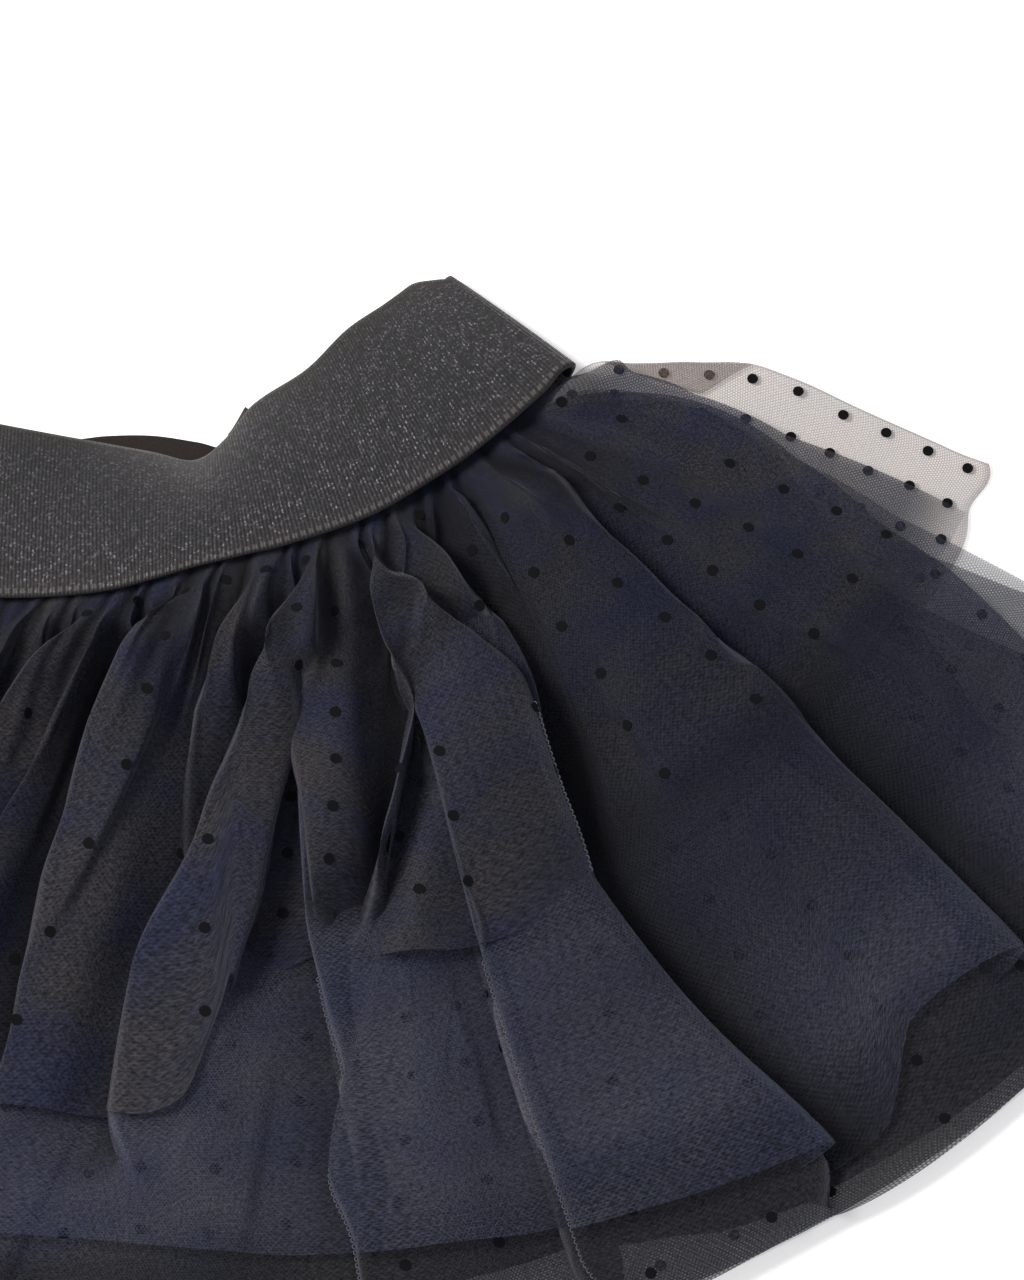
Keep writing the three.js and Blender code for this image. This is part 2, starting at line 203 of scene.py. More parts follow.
def quads(columns, rows, runs_round=False, start=0, turned=False):
    i = np.arange(columns if runs_round else columns - 1)[:, None]
    j = np.arange(rows - 1)[None, :]
    k = (i + 1) % columns
    corners = [i * rows + j, k * rows + j, k * rows + j + 1, i * rows + j + 1]
    if turned:
        corners = corners[::-1]
    return start + np.stack([np.broadcast_to(c, (len(i), rows - 1)) for c in corners], -1).reshape(-1, 4)


places = np.linspace(-HALF_SEAM, HALF_SEAM, 481)[:, None]
across_share = np.linspace(0, 1, 41)[None, :]
turns = np.linspace(0, math.pi, 17)[:, None]
ring = np.concatenate([
    band_front(places, across_share),
    band_fold(1, turns, across_share)[1:-1],
    band_back(places[::-1], across_share),
    band_fold(-1, turns[::-1], across_share)[1:-1],
])
SEAM_MIDDLE = np.array([0.744, 70.178, 0.0])  # the middle of the gathered seam in the model's frame
low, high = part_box("waistband")
visual_low_x = (ring[..., 0].min() - BAND_WALL / 2 + SEAM_MIDDLE[0])
print("left end of the band in mm, solid and cloth:", round(low[0] / MM, 1), round(float(visual_low_x), 1))


def to_frame(points):
    return (points + SEAM_MIDDLE).reshape(-1, 3) * MM


# %% [markdown]
# The camera comes first, so that every piece can be judged in the photograph's framing. It
# looks down steeply at the upper right part of the skirt, with a longish lens, as a close-up
# taken by someone standing over it would.

# %% Camera
CAMERA_AZIMUTH, CAMERA_ELEVATION = math.radians(-10), math.radians(70)
CAMERA_DISTANCE = 1.5
FRAME_HEIGHT = 0.339  # what the picture's long side spans at the cloth
TARGET = np.array([81.0, -35.0, 20.0])

camera_data = bpy.data.cameras.new("camera")
camera_data.lens = camera_data.sensor_width * CAMERA_DISTANCE / FRAME_HEIGHT
camera = bpy.data.objects.new("camera", camera_data)
bpy.context.scene.collection.objects.link(camera)
target = Vector(to_frame(TARGET)[0])
back = Vector((
    math.sin(CAMERA_AZIMUTH) * math.cos(CAMERA_ELEVATION),
    -math.cos(CAMERA_AZIMUTH) * math.cos(CAMERA_ELEVATION),
    math.sin(CAMERA_ELEVATION),
))
camera.location = target + back * CAMERA_DISTANCE
camera.rotation_mode = "QUATERNION"
camera.rotation_quaternion = (-back).to_track_quat("-Z", "Y")
bpy.context.scene.camera = camera
print("lens in mm:", round(camera_data.lens, 1))


# %% [markdown]
# Colours are picked as sRGB hex values and turned to linear once, here. One helper adds a
# shader node with its settings and its links, so each material below reads as a list.

# %% Material helpers
def linear(code, alpha=1.0):
    parts = [int(code[i:i + 2], 16) / 255 for i in (1, 3, 5)]
    return (*[p / 12.92 if p <= 0.04045 else ((p + 0.055) / 1.055) ** 2.4 for p in parts], alpha)


def new_material(name):
    made = bpy.data.materials.new(name)
    made.use_nodes = True
    made.node_tree.nodes.clear()
    return made


def add(tree, kind, links=None, **settings):
    """Adds a node. links maps an input to a socket that feeds it or to a plain value."""
    node = tree.nodes.new(kind)
    for key, value in settings.items():
        setattr(node, key, value)
    for key, value in (links or {}).items():
        socket = node.inputs[key]
        if isinstance(value, bpy.types.NodeSocket):
            tree.links.new(value, socket)
        else:
            socket.default_value = value
    return node


def finish_material(material, shader):
    output = add(material.node_tree, "ShaderNodeOutputMaterial")
    material.node_tree.links.new(shader, output.inputs["Surface"])
    return material


def cloth_coordinates(tree, scale):
    """The cloth's flat place in units of one repeat."""
    uv = add(tree, "ShaderNodeUVMap", uv_map="UVMap")
    return add(tree, "ShaderNodeVectorMath", {0: uv.outputs[0], "Scale": scale}, operation="SCALE")


# %% [markdown]
# Tulle is a warp-knitted polyester or nylon net with holes of about a millimetre. It is not a
# film: threads cover a part of it and the rest is air, so what lies behind shows through and
# each further layer or fold darkens a white ground or greys a black one. Three cosine waves at 60
# degrees, in the cloth's own coordinates, draw the net and drive Alpha. The threads are matt,
# with the soft sheen of fibres, and a fine grain and wide patches keep the net from looking
# even. Four values of the mesh steer it: fold_edge (doubled threads stop more light, and the
# colour there is lightened as a painted highlight), a painted shade value (the colour pulled
# towards near black in fold hollows, the pocket and between the gathers), a bluish value (the
# right part bluer from more layers of bluish net beneath, and darker as painted shade) and sheer
# (thinned towards a hem that doesn't show).

# %% Tulle
NET_PITCH = 0.68  # millimetres from hole to hole
FIBRE, GRAIN = 0.8, (0.25, 1.85)  # size in millimetres and range of the grain
PATCH = 20.0  # millimetres, about the width of the warmer and cooler patches


def tulle(name, thread, shade, edge_highlight, on_thread, in_hole):
    """on_thread and in_hole are the shares of light that a thread and a hole of the net stop."""
    made = new_material(name)
    tree = made.node_tree
    straight = cloth_coordinates(tree, 1 / (NET_PITCH * MM))
    net = add(tree, "ShaderNodeVectorRotate", {"Vector": straight.outputs[0], "Angle": math.radians(34)},
              rotation_type="Z_AXIS")
    waves = None
    for degrees in (0, 60, 120):
        way = (math.cos(math.radians(degrees)) * 2 * math.pi, math.sin(math.radians(degrees)) * 2 * math.pi, 0)
        along = add(tree, "ShaderNodeVectorMath", {0: net.outputs[0], 1: way}, operation="DOT_PRODUCT")
        wave = add(tree, "ShaderNodeMath", {0: along.outputs["Value"]}, operation="COSINE")
        waves = wave if waves is None else add(tree, "ShaderNodeMath", {0: waves.outputs[0], 1: wave.outputs[0]},
                                               operation="ADD")
    threads = add(tree, "ShaderNodeMapRange", {"Value": waves.outputs[0], "From Min": -1.2, "From Max": 1.4,
                                               "To Min": on_thread, "To Max": in_hole})
    patches = cloth_coordinates(tree, 1 / (PATCH * MM))
    cloud = add(tree, "ShaderNodeTexNoise", {"Vector": patches.outputs[0], "Scale": 1.0, "Detail": 2.0},
                noise_dimensions="2D")
    share = add(tree, "ShaderNodeMapRange", {"Value": cloud.outputs[0], "From Min": 0.28, "From Max": 0.72})
    crinkle = add(tree, "ShaderNodeBump", {"Height": cloud.outputs[0], "Strength": 0.6, "Distance": 0.0035})
    ground = add(tree, "ShaderNodeMix", {0: share.outputs[0], 6: linear(thread), 7: linear(shade)},
                 data_type="RGBA")
    fibres = cloth_coordinates(tree, 1 / (FIBRE * MM))
    grain = add(tree, "ShaderNodeTexNoise", {"Vector": fibres.outputs[0], "Scale": 1.0, "Detail": 3.0,
                                             "Roughness": 0.75}, noise_dimensions="2D")
    uneven = add(tree, "ShaderNodeMapRange", {"Value": grain.outputs[0], "From Min": 0.3, "From Max": 0.7,
                                              "To Min": GRAIN[0], "To Max": GRAIN[1]})
    bluish_and_shade = add(tree, "ShaderNodeAttribute", attribute_name="bluish_and_shade")
    # the right part is mixed towards these darker, bluer colours: the blue stands for the bluish net beneath, the
    # darkening is painted shade
    deep = add(tree, "ShaderNodeMix", {0: share.outputs[0], 6: linear("#1c1e26"), 7: linear("#121627")},
               data_type="RGBA")
    ground = add(tree, "ShaderNodeMix", {0: bluish_and_shade.outputs["Fac"], 6: ground.outputs[2], 7: deep.outputs[2]},
                 data_type="RGBA")
    ground = add(tree, "ShaderNodeMix", {0: 1.0, 6: ground.outputs[2], 7: uneven.outputs[0]},
                 data_type="RGBA", blend_type="MULTIPLY")
    edge = add(tree, "ShaderNodeAttribute", attribute_name="fold_edge")
    painted_shade = add(tree, "ShaderNodeAttribute", attribute_name="painted_shade")
    lit = add(tree, "ShaderNodeMath", {0: edge.outputs["Fac"], 1: 0.5}, operation="MULTIPLY")
    dim = add(tree, "ShaderNodeMath", {0: painted_shade.outputs["Fac"], 1: 0.85}, operation="MULTIPLY")
    # painted shade: in fold hollows, the pocket and between the gathers the colour is pulled towards near black
    dimmed = add(tree, "ShaderNodeMix", {0: dim.outputs[0], 6: ground.outputs[2], 7: linear("#050507")},
                 data_type="RGBA")
    # painted highlight: along fold edges the colour is lightened towards a lighter colour; the higher alpha below
    # stands for the doubled threads
    colour = add(tree, "ShaderNodeMix", {0: lit.outputs[0], 6: dimmed.outputs[2], 7: linear(edge_highlight)},
                 data_type="RGBA")
    stop = add(tree, "ShaderNodeMix", {0: lit.outputs[0], 2: threads.outputs[0], 3: 0.9}, data_type="FLOAT")
    sheer = add(tree, "ShaderNodeAttribute", attribute_name="sheer")
    stop = add(tree, "ShaderNodeMix", {0: sheer.outputs["Fac"], 2: stop.outputs[0], 3: 0.0}, data_type="FLOAT")
    bsdf = add(tree, "ShaderNodeBsdfPrincipled", {
        "Base Color": colour.outputs[2], "Roughness": 0.8, "Alpha": stop.outputs[0], "Normal": crinkle.outputs[0],
        "Sheen Weight": 0.2, "Sheen Roughness": 0.4, "Sheen Tint": linear("#b9bccb"),
        "Specular IOR Level": 0.15, "IOR": 1.55})
    return finish_material(made, bsdf.outputs[0])


# the third colour of each net is the painted highlight along its fold edges
DOTTED_TULLE = tulle("dotted_tulle_gathered", "#302e30", "#202437", "#4c4b53", 0.88, 0.5)
DOTTED_SINGLE = tulle("dotted_tulle_single", "#6d5c54", "#5d5452", "#6d5c54", 0.6, 0.26)
LOWER_TULLE = tulle("dotted_tulle_lower", "#46444a", "#3b3e4e", "#5a5964", 0.9, 0.55)
PLAIN_TULLE = tulle("plain_tulle_gathered", "#343742", "#282c3e", "#545763", 0.7, 0.26)


# %% [markdown]
# The dots are flock: short fibres glued on end. They read as nearly black, quite matt spots
# with a faintly soft rim. The lining is a plain dark woven polyester that only grounds the net.

# %% Flock and lining
def plain_cloth(name, colour, roughness, thread_mm, sheen):
    made = new_material(name)
    tree = made.node_tree
    weave = cloth_coordinates(tree, 1 / (thread_mm * MM))
    yarn = add(tree, "ShaderNodeTexNoise", {"Vector": weave.outputs[0], "Scale": 1.0, "Detail": 3.0},
               noise_dimensions="2D")
    tone = add(tree, "ShaderNodeMix", {0: yarn.outputs[0], 6: linear(colour[0]), 7: linear(colour[1])},
               data_type="RGBA")
    bump = add(tree, "ShaderNodeBump", {"Height": yarn.outputs[0], "Strength": 0.4, "Distance": 0.0002})
    bsdf = add(tree, "ShaderNodeBsdfPrincipled", {
        "Base Color": tone.outputs[2], "Roughness": roughness, "Normal": bump.outputs[0],
        "Sheen Weight": sheen, "Sheen Roughness": 0.4, "Specular IOR Level": 0.2})
    return finish_material(made, bsdf.outputs[0])


FLOCK = plain_cloth("flock_dots", ("#020203", "#06070b"), 0.95, 0.25, 0.0)
LINING = plain_cloth("woven_lining", ("#0b0c12", "#15171f"), 0.7, 0.5, 0.1)
BAND_INSIDE = plain_cloth("elastic_knit_inside", ("#1b1716", "#2a2522"), 0.85, 0.8, 0.15)


# %% [markdown]
# The waistband is knitted elastic with a metallic yarn laid in, so each small stitch is dull
# charcoal or catches the light as a silver fleck. Voronoi cells of a stitch's size give each
# stitch one random value: most stay charcoal, some are grey and a few are bright metal. Ribs a
# millimetre apart run across the band. Towards both edges the ground shows browner, and the
# last row of stitches along the gathered edge is painted lighter, as a row of glints: a painted
# highlight.

# %% Glitter elastic
RIB_PITCH = 1.0
FLECK_SIZE = 0.5
BAND_WIDTH = 48.0
STITCH_PITCH = 2.0  # the last row of stitches along the gathered edge is painted lighter, as glints: a painted highlight


def glitter_elastic():
    made = new_material("glitter_elastic_knit")
    tree = made.node_tree
    stitches = cloth_coordinates(tree, 1 / (FLECK_SIZE * MM))
    cells = add(tree, "ShaderNodeTexVoronoi", {"Vector": stitches.outputs[0], "Scale": 1.0, "Randomness": 1.0},
                voronoi_dimensions="2D")
    pick = add(tree, "ShaderNodeSeparateColor", {0: cells.outputs["Color"]})
    flecks = add(tree, "ShaderNodeValToRGB", {0: pick.outputs[0]})
    stops = [(0.0, "#040405"), (0.35, "#0a090b"), (0.62, "#18171b"), (0.86, "#2d2b32"), (1.0, "#55525d")]
    flecks.color_ramp.elements[0].position, flecks.color_ramp.elements[1].position = stops[0][0], stops[-1][0]
    flecks.color_ramp.elements[0].color = linear(stops[0][1])
    flecks.color_ramp.elements[1].color = linear(stops[-1][1])
    for place, code in stops[1:-1]:
        flecks.color_ramp.elements.new(place).color = linear(code)
    uv = add(tree, "ShaderNodeUVMap", uv_map="UVMap")
    axes = add(tree, "ShaderNodeSeparateXYZ", {0: uv.outputs[0]})
    share = add(tree, "ShaderNodeMath", {0: axes.outputs[1], 1: 1 / (BAND_WIDTH * MM)}, operation="MULTIPLY")
    off_middle = add(tree, "ShaderNodeMath", {0: share.outputs[0], 1: 0.5}, operation="SUBTRACT")
    to_edge = add(tree, "ShaderNodeMath", {0: off_middle.outputs[0]}, operation="ABSOLUTE")
    edge = add(tree, "ShaderNodeMapRange", {"Value": to_edge.outputs[0], "From Min": 0.36, "From Max": 0.5,
                                            "To Min": 0.0, "To Max": 0.6})
    colour = add(tree, "ShaderNodeMix", {0: edge.outputs[0], 6: flecks.outputs[0], 7: linear("#241f1b")},
                 data_type="RGBA")
    # painted highlight: the last row of stitches along the gathered edge is lightened, as glints
    on_row = add(tree, "ShaderNodeMath", {0: axes.outputs[1], 1: 0.0014, 2: 0.0007}, operation="COMPARE")
    stitch = add(tree, "ShaderNodeMath", {0: axes.outputs[0], 1: 2 * math.pi / (STITCH_PITCH * MM)},
                 operation="MULTIPLY")
    stitch = add(tree, "ShaderNodeMath", {0: stitch.outputs[0]}, operation="SINE")
    stitch = add(tree, "ShaderNodeMath", {0: stitch.outputs[0], 1: 0.1}, operation="GREATER_THAN")
    stitch = add(tree, "ShaderNodeMath", {0: stitch.outputs[0], 1: on_row.outputs[0]}, operation="MULTIPLY")
    stitch = add(tree, "ShaderNodeMath", {0: stitch.outputs[0], 1: 0.45}, operation="MULTIPLY")
    colour = add(tree, "ShaderNodeMix", {0: stitch.outputs[0], 6: colour.outputs[2], 7: linear("#5f5c5e")},
                 data_type="RGBA")
    metal = add(tree, "ShaderNodeMapRange", {"Value": pick.outputs[0], "From Min": 0.62, "From Max": 0.9,
                                             "To Min": 0.0, "To Max": 0.4})
    gloss = add(tree, "ShaderNodeMapRange", {"Value": pick.outputs[0], "From Min": 0.6, "From Max": 1.0,
                                             "To Min": 0.8, "To Max": 0.5})
    ribs = add(tree, "ShaderNodeMath", {0: axes.outputs[0], 1: 2 * math.pi / (RIB_PITCH * MM)}, operation="MULTIPLY")
    rib_wave = add(tree, "ShaderNodeMath", {0: ribs.outputs[0]}, operation="SINE")
    height = add(tree, "ShaderNodeMath", {0: rib_wave.outputs[0], 1: 0.35, 2: pick.outputs[1]},
                 operation="MULTIPLY_ADD")
    bump = add(tree, "ShaderNodeBump", {"Height": height.outputs[0], "Strength": 0.8, "Distance": 0.0003})
    bsdf = add(tree, "ShaderNodeBsdfPrincipled", {
        "Base Color": colour.outputs[2], "Metallic": metal.outputs[0], "Roughness": gloss.outputs[0],
        "Normal": bump.outputs[0], "Sheen Weight": 0.15, "Sheen Roughness": 0.5})
    return finish_material(made, bsdf.outputs[0])


ELASTIC = glitter_elastic()
print("materials:", [m.name for m in bpy.data.materials if m.users == 0 or m.node_tree])


# %% [markdown]
# The waistband itself is one ring of elastic with a real wall, closed at both rims. It is built
# from the ring of points above: an outer skin, an inner skin and the two rims.

# %% Waistband
def walled(name, points, thickness, flat_u, flat_v, runs_round):
    """A closed wall round a grid of middle points. flat_u and flat_v are the cloth's flat sizes."""
    columns, rows = points.shape[:2]
    normal = normals_of(points, runs_round)
    skins = np.concatenate([points + normal * thickness / 2, points - normal * thickness / 2])
    offset = columns * rows
    faces = [quads(columns, rows, runs_round), quads(columns, rows, runs_round, offset, True)]
    spans = np.arange(columns if runs_round else columns - 1)
    following = (spans + 1) % columns
    lower, upper = spans * rows, spans * rows + rows - 1
    next_lower, next_upper = following * rows, following * rows + rows - 1
    faces.append(np.stack([offset + lower, offset + next_lower, next_lower, lower], -1))
    faces.append(np.stack([upper, next_upper, offset + next_upper, offset + upper], -1))
    if not runs_round:
        j = np.arange(rows - 1)
        end = (columns - 1) * rows
        faces.append(np.stack([offset + j, j, j + 1, offset + j + 1], -1))
        faces.append(np.stack([end + j, offset + end + j, offset + end + j + 1, end + j + 1], -1))
    uv = np.stack(np.broadcast_arrays(flat_u, flat_v), -1).reshape(-1, 2) * MM
    return mesh_object(name, to_frame(skins), np.concatenate(faces), np.concatenate([uv, uv]))


steps = np.linalg.norm(np.diff(ring[:, 20], axis=0), axis=1)
round_length = np.concatenate([[0], np.cumsum(steps)])
waistband = walled("waistband_elastic", ring, BAND_WALL, round_length[:, None],
                   across_share * BAND_WIDTH, True)
waistband.data.materials.append(ELASTIC)
waistband.data.materials.append(BAND_INSIDE)
skin_faces = len(ring) * (across_share.size - 1)
for face in waistband.data.polygons[skin_faces:2 * skin_faces]:
    face.material_index = 1
print("waist measured round the middle of the band, in mm:", round(float(round_length[-1])))

join_places = np.linspace(14, 23, 19)[:, None]
join_across = np.linspace(0.2, 1.12, 61)[None, :]
join_points = band_front(join_places, join_across)
join_points = join_points - normals_of(join_points) * (BAND_WALL / 2 + GAP + NET_WALL / 2)
join = walled("waistband_join_allowance", join_points, NET_WALL, join_places, join_across * BAND_WIDTH, False)
join.data.materials.append(BAND_INSIDE)


# %% [markdown]
# How a layer lies. Each layer rests on those under it, steps down where one of them ends, and
# in front lifts into the puff that gathered net has. The two functions below are the same sizes
# and rules that the solids have, so the cloth lies where its solid does.

# %% The stack of layers
LAYERS = table("length inset puff fold gather", [
    [UPPER_LENGTH, 0, 0, 0, 0],
    [MIDDLE_LENGTH, 1, 0, 0, 0],
    [LOWER_LENGTH, 2, 0, 0, 0],
    [LINING_LENGTH, 3, 0, 0, 0],
    [LINING_LENGTH, 3, 0.22, 0.1, 0],
    [LOWER_LENGTH, 2, 0.48, 0.4, 0.2],
    [MIDDLE_LENGTH, 1, 0.74, 0.7, 0.5],
    [UPPER_LENGTH, 0, 1, 1, 1],
])
NEXT_ROW = {UPPER_LENGTH: UPPER_LENGTH + HEM_STEP, MIDDLE_LENGTH: LINING_LENGTH, LINING_LENGTH: LOWER_LENGTH,
            LOWER_LENGTH: LOWER_LENGTH + HEM_STEP}
TOP_LAYER = 7


def stack_height(level, s, d):
    height = NET_WALL / 2 + (BAND_WALL + GAP) * (1 - ramp(0, STEP_LENGTH, d))
    for under in range(level):
        edge = HALF_SEAM - LAYERS["inset"][under] * GATHER_PITCH
        length = LAYERS["length"][under]
        height = height + PITCH * (1 - ramp(edge, edge + GATHER_PITCH, abs(s))) * (
            1 - ramp(length, NEXT_ROW[length], d))
    return height


def puff(s, d):
    inside = 1 - ramp(0, HALF_SEAM - 3 * GATHER_PITCH, abs(s)) ** 3
    underside = read(BAND, "z", s) - BAND_WALL / 2 - GAP
    at_seam = np.maximum(underside - stack_height(TOP_LAYER, s, 0) - NET_WALL / 2 - 0.9, 0) * inside
    body = blend(at_seam, BODY_PUFF * inside, ease(0, PUFF_RISE, d))
    return body * (1 - 0.3 * ease(80, UPPER_LENGTH, d) - 0.65 * ease(UPPER_LENGTH, LOWER_LENGTH, d))


def plan(s, d, swing=0.0):
    x, y = read(BAND, "x", s), read(BAND, "y", s)
    up_x, up_y = read(BAND, "topX", s) - x, read(BAND, "topY", s) - y
    reach = np.hypot(up_x, up_y)
    lap = np.maximum(-d, 0)
    lean = np.radians(read(FAN, "lean", s) + swing)
    down = np.maximum(d, 0)
    return x + up_x / reach * lap + np.sin(lean) * down, y + up_y / reach * lap - np.cos(lean) * down


# %% [markdown]
# The main folds are listed one row each, from what shows: where the fold runs at the
# seam, 45 mm and 120 mm below it and at the lowest hem, to which side its crest hangs over, how
# deep it is, how far it hangs, how wide it is, and where it starts and stops. A fold of real
# cloth overhangs its own shadow, so the cloth is pushed sideways as well as up. The last rows
# are for the left part, which takes the same kinds of fold. Small creases are drawn by lot.

# %% Folds
FOLDS = table("seam top mid hem end side depth hang width taper dark_from start stop", [
    [-25, -31.5, -34.2, -34.5, -34, -1, 1.0, 2.2, 3.6, 0, 0, 0, 115],
    [4, -9.5, -9.7, -5.5, 3, -1, 1.0, 2.2, 3.3, 0, 0, 0, 225],
    [17, 14, 11.8, 14.5, 16, -1, 0.7, 2.2, 2.4, 0, 0, 0, 190],
    [22, 21, 20, 20, 20, -1, 0.6, 1.4, 1.6, 0, 0, 0, 20],
    [32, 28, 22, 14.3, 12, -1, 0.8, 2.3, 2.0, 0, 0, 0, 190],
    [33, 33, 31.5, 27.5, 24, 1, 0.6, 2.2, 1.9, 0, 0, 40, 135],
    [31, 31, 31.8, 34.8, 38, -1, 0.6, 2.3, 2.2, 0, 0, 45, 225],
    [44, 47, 48.6, 38.5, 34, -1, 1.0, 2.3, 2.8, 0.65, 0, 0, 130],
    [60, 58, 54, 39.5, 20, 1, 0.7, 2.1, 1.7, 0.45, 0, 46, 130],
    [52, 52, 52, 53.2, 57, -1, 0.5, 2.3, 2.2, 0, 100, 48, 225],
    [49, 54.5, 63, 74, 76, 1, 0.65, 1.9, 1.8, 0, 0, 6, 60],
    [63, 66, 69.8, 67.8, 75, 1, 1.0, 2.3, 3.2, 0, 0, 0, 225],
    [72, 78, 82, 88, 90, 1, 0.6, 1.3, 1.2, 0, 0, 0, 16],
    [95, 91, 89, 87, 86.3, 1, 0.9, 2.2, 2.3, 0, 112, 0, 225],
    [99, 96, 94, 92, 90, 1, 0.45, 1.1, 1.1, 0, 0, 0, 52],
    [110, 114, 114, 114, 114, 1, 0.4, 1.2, 1.4, 0, 0, 0, 14],
    [-19, -20, -22, -24, -26, -1, 0.5, 1.9, 2.2, 0, 0, 60, 225],
    [-40, -40, -40, -41, -42, 1, 0.5, 2.1, 2.4, 0, 0, 95, 225],
    [-46, -49, -50, -50, -48, -1, 0.8, 2.1, 3.0, 0, 0, 0, 130],
    [-58, -59, -60, -63, -66, 1, 0.6, 1.9, 2.4, 0, 0, 30, 225],
    [-68, -71, -72, -74, -75, -1, 0.9, 2.2, 3.2, 0, 0, 0, 225],
    [-84, -85, -86, -85, -84, 1, 0.8, 2.1, 2.8, 0, 0, 0, 160],
    [-97, -98, -98, -96, -95, -1, 0.7, 1.9, 2.4, 0, 0, 10, 225],
    [-109, -109, -108, -107, -106, 1, 0.4, 1.3, 2.0, 0, 0, 0, 90],
])
FOLD_PLACES = [0, 16, 45, UPPER_LENGTH, LOWER_LENGTH]
POCKET = {"s": 38.0, "d": 30.0, "half_width": 4.0, "half_length": 12.0, "depth": 0.45}


def small_creases(seed, count=64):
    """Rows like the ones above, for creases too small to place one by one."""
    lot = np.random.default_rng(seed)
    seam = np.linspace(-114, 114, count) + lot.uniform(-2.5, 2.5, count)
    start = lot.choice([-20, 0, 10, 40, 80, 110, 140], count) + lot.uniform(-8, 8, count)
    return {
        "seam": seam, "top": seam, "mid": seam + lot.uniform(-2, 2, count), "hem": seam + lot.uniform(-4, 4, count),
        "end": seam + lot.uniform(-5, 5, count), "side": lot.choice([-1.0, 1.0], count),
        "depth": lot.uniform(0.05, 0.24, count), "hang": lot.uniform(0.5, 1.7, count),
        "taper": np.zeros(count), "dark_from": np.zeros(count),
        "width": lot.uniform(0.8, 1.9, count), "start": start, "stop": start + lot.uniform(30, 120, count),
    }


def fold_turn(hang):
    """Where a fold's edge lies across it, and how far that edge hangs over, both in fold widths."""
    turn_at = 0.66 * math.sqrt(max(hang - 1, 0) / 1.2)
    return turn_at, turn_at * max(hang * math.exp(-turn_at**2 / 2) - 1, 0)


class Crease:
    """What the folds do to a sheet: height left, push along the seam, where the edges lie, and the painted shade in
    their hollows.
    """

    def __init__(self, shape):
        self.left, self.push = np.ones(shape), np.zeros(shape)
        self.edge, self.painted_shade = np.zeros(shape), np.zeros(shape)

    def add(self, rows, t, d, level):
        for k in range(len(rows["seam"])):
            middle = np.interp(d, FOLD_PLACES, [rows[c][k] for c in ("seam", "top", "mid", "hem", "end")])
            start, stop = rows["start"][k], rows["stop"][k]
            if level < TOP_LAYER:
                start, stop = (0, stop) if stop >= LOWER_LENGTH else (start, stop - 22)
            runs = ease(start - 10, start + 12, d) if start > 0 else 1.0
            runs = runs * (1 - ease(stop - 14, stop + 10, d))
            side = rows["side"][k]
            width = rows["width"][k] * (1 - rows["taper"][k] * ease(32, 95, d))
            turn_at, overhang = fold_turn(rows["hang"][k])
            x = side * (t - middle) / width + overhang
            trough = ease(-1.0, 0.8, x) * np.exp(-np.maximum(x - 0.8, 0) ** 2 / 9)
            self.left = self.left * (1 - rows["depth"][k] * runs * trough)
            self.push = self.push - side * rows["hang"][k] * width * runs * x * np.exp(-x * x / 2)
            strength = runs * min(1.0, rows["depth"][k] * rows["hang"][k] / 1.4)
            self.edge = np.maximum(self.edge, strength * np.exp(-((x + turn_at + 0.05) / 0.13) ** 2))
            # painted shade in the trough beside each crest, at full strength from dark_from down
            fade = 1.2 - 0.7 * ease(80, 170, d)
            under = ease(-0.6, 0.3, x) * np.exp(-np.maximum(x - 1.9, 0) / fade)
            if rows["dark_from"][k] > 0:
                under = under * (0.4 + 0.6 * ease(rows["dark_from"][k] - 12, rows["dark_from"][k] + 6, d))
            self.painted_shade = np.maximum(self.painted_shade, rows["depth"][k] ** 1.3 * runs * under)


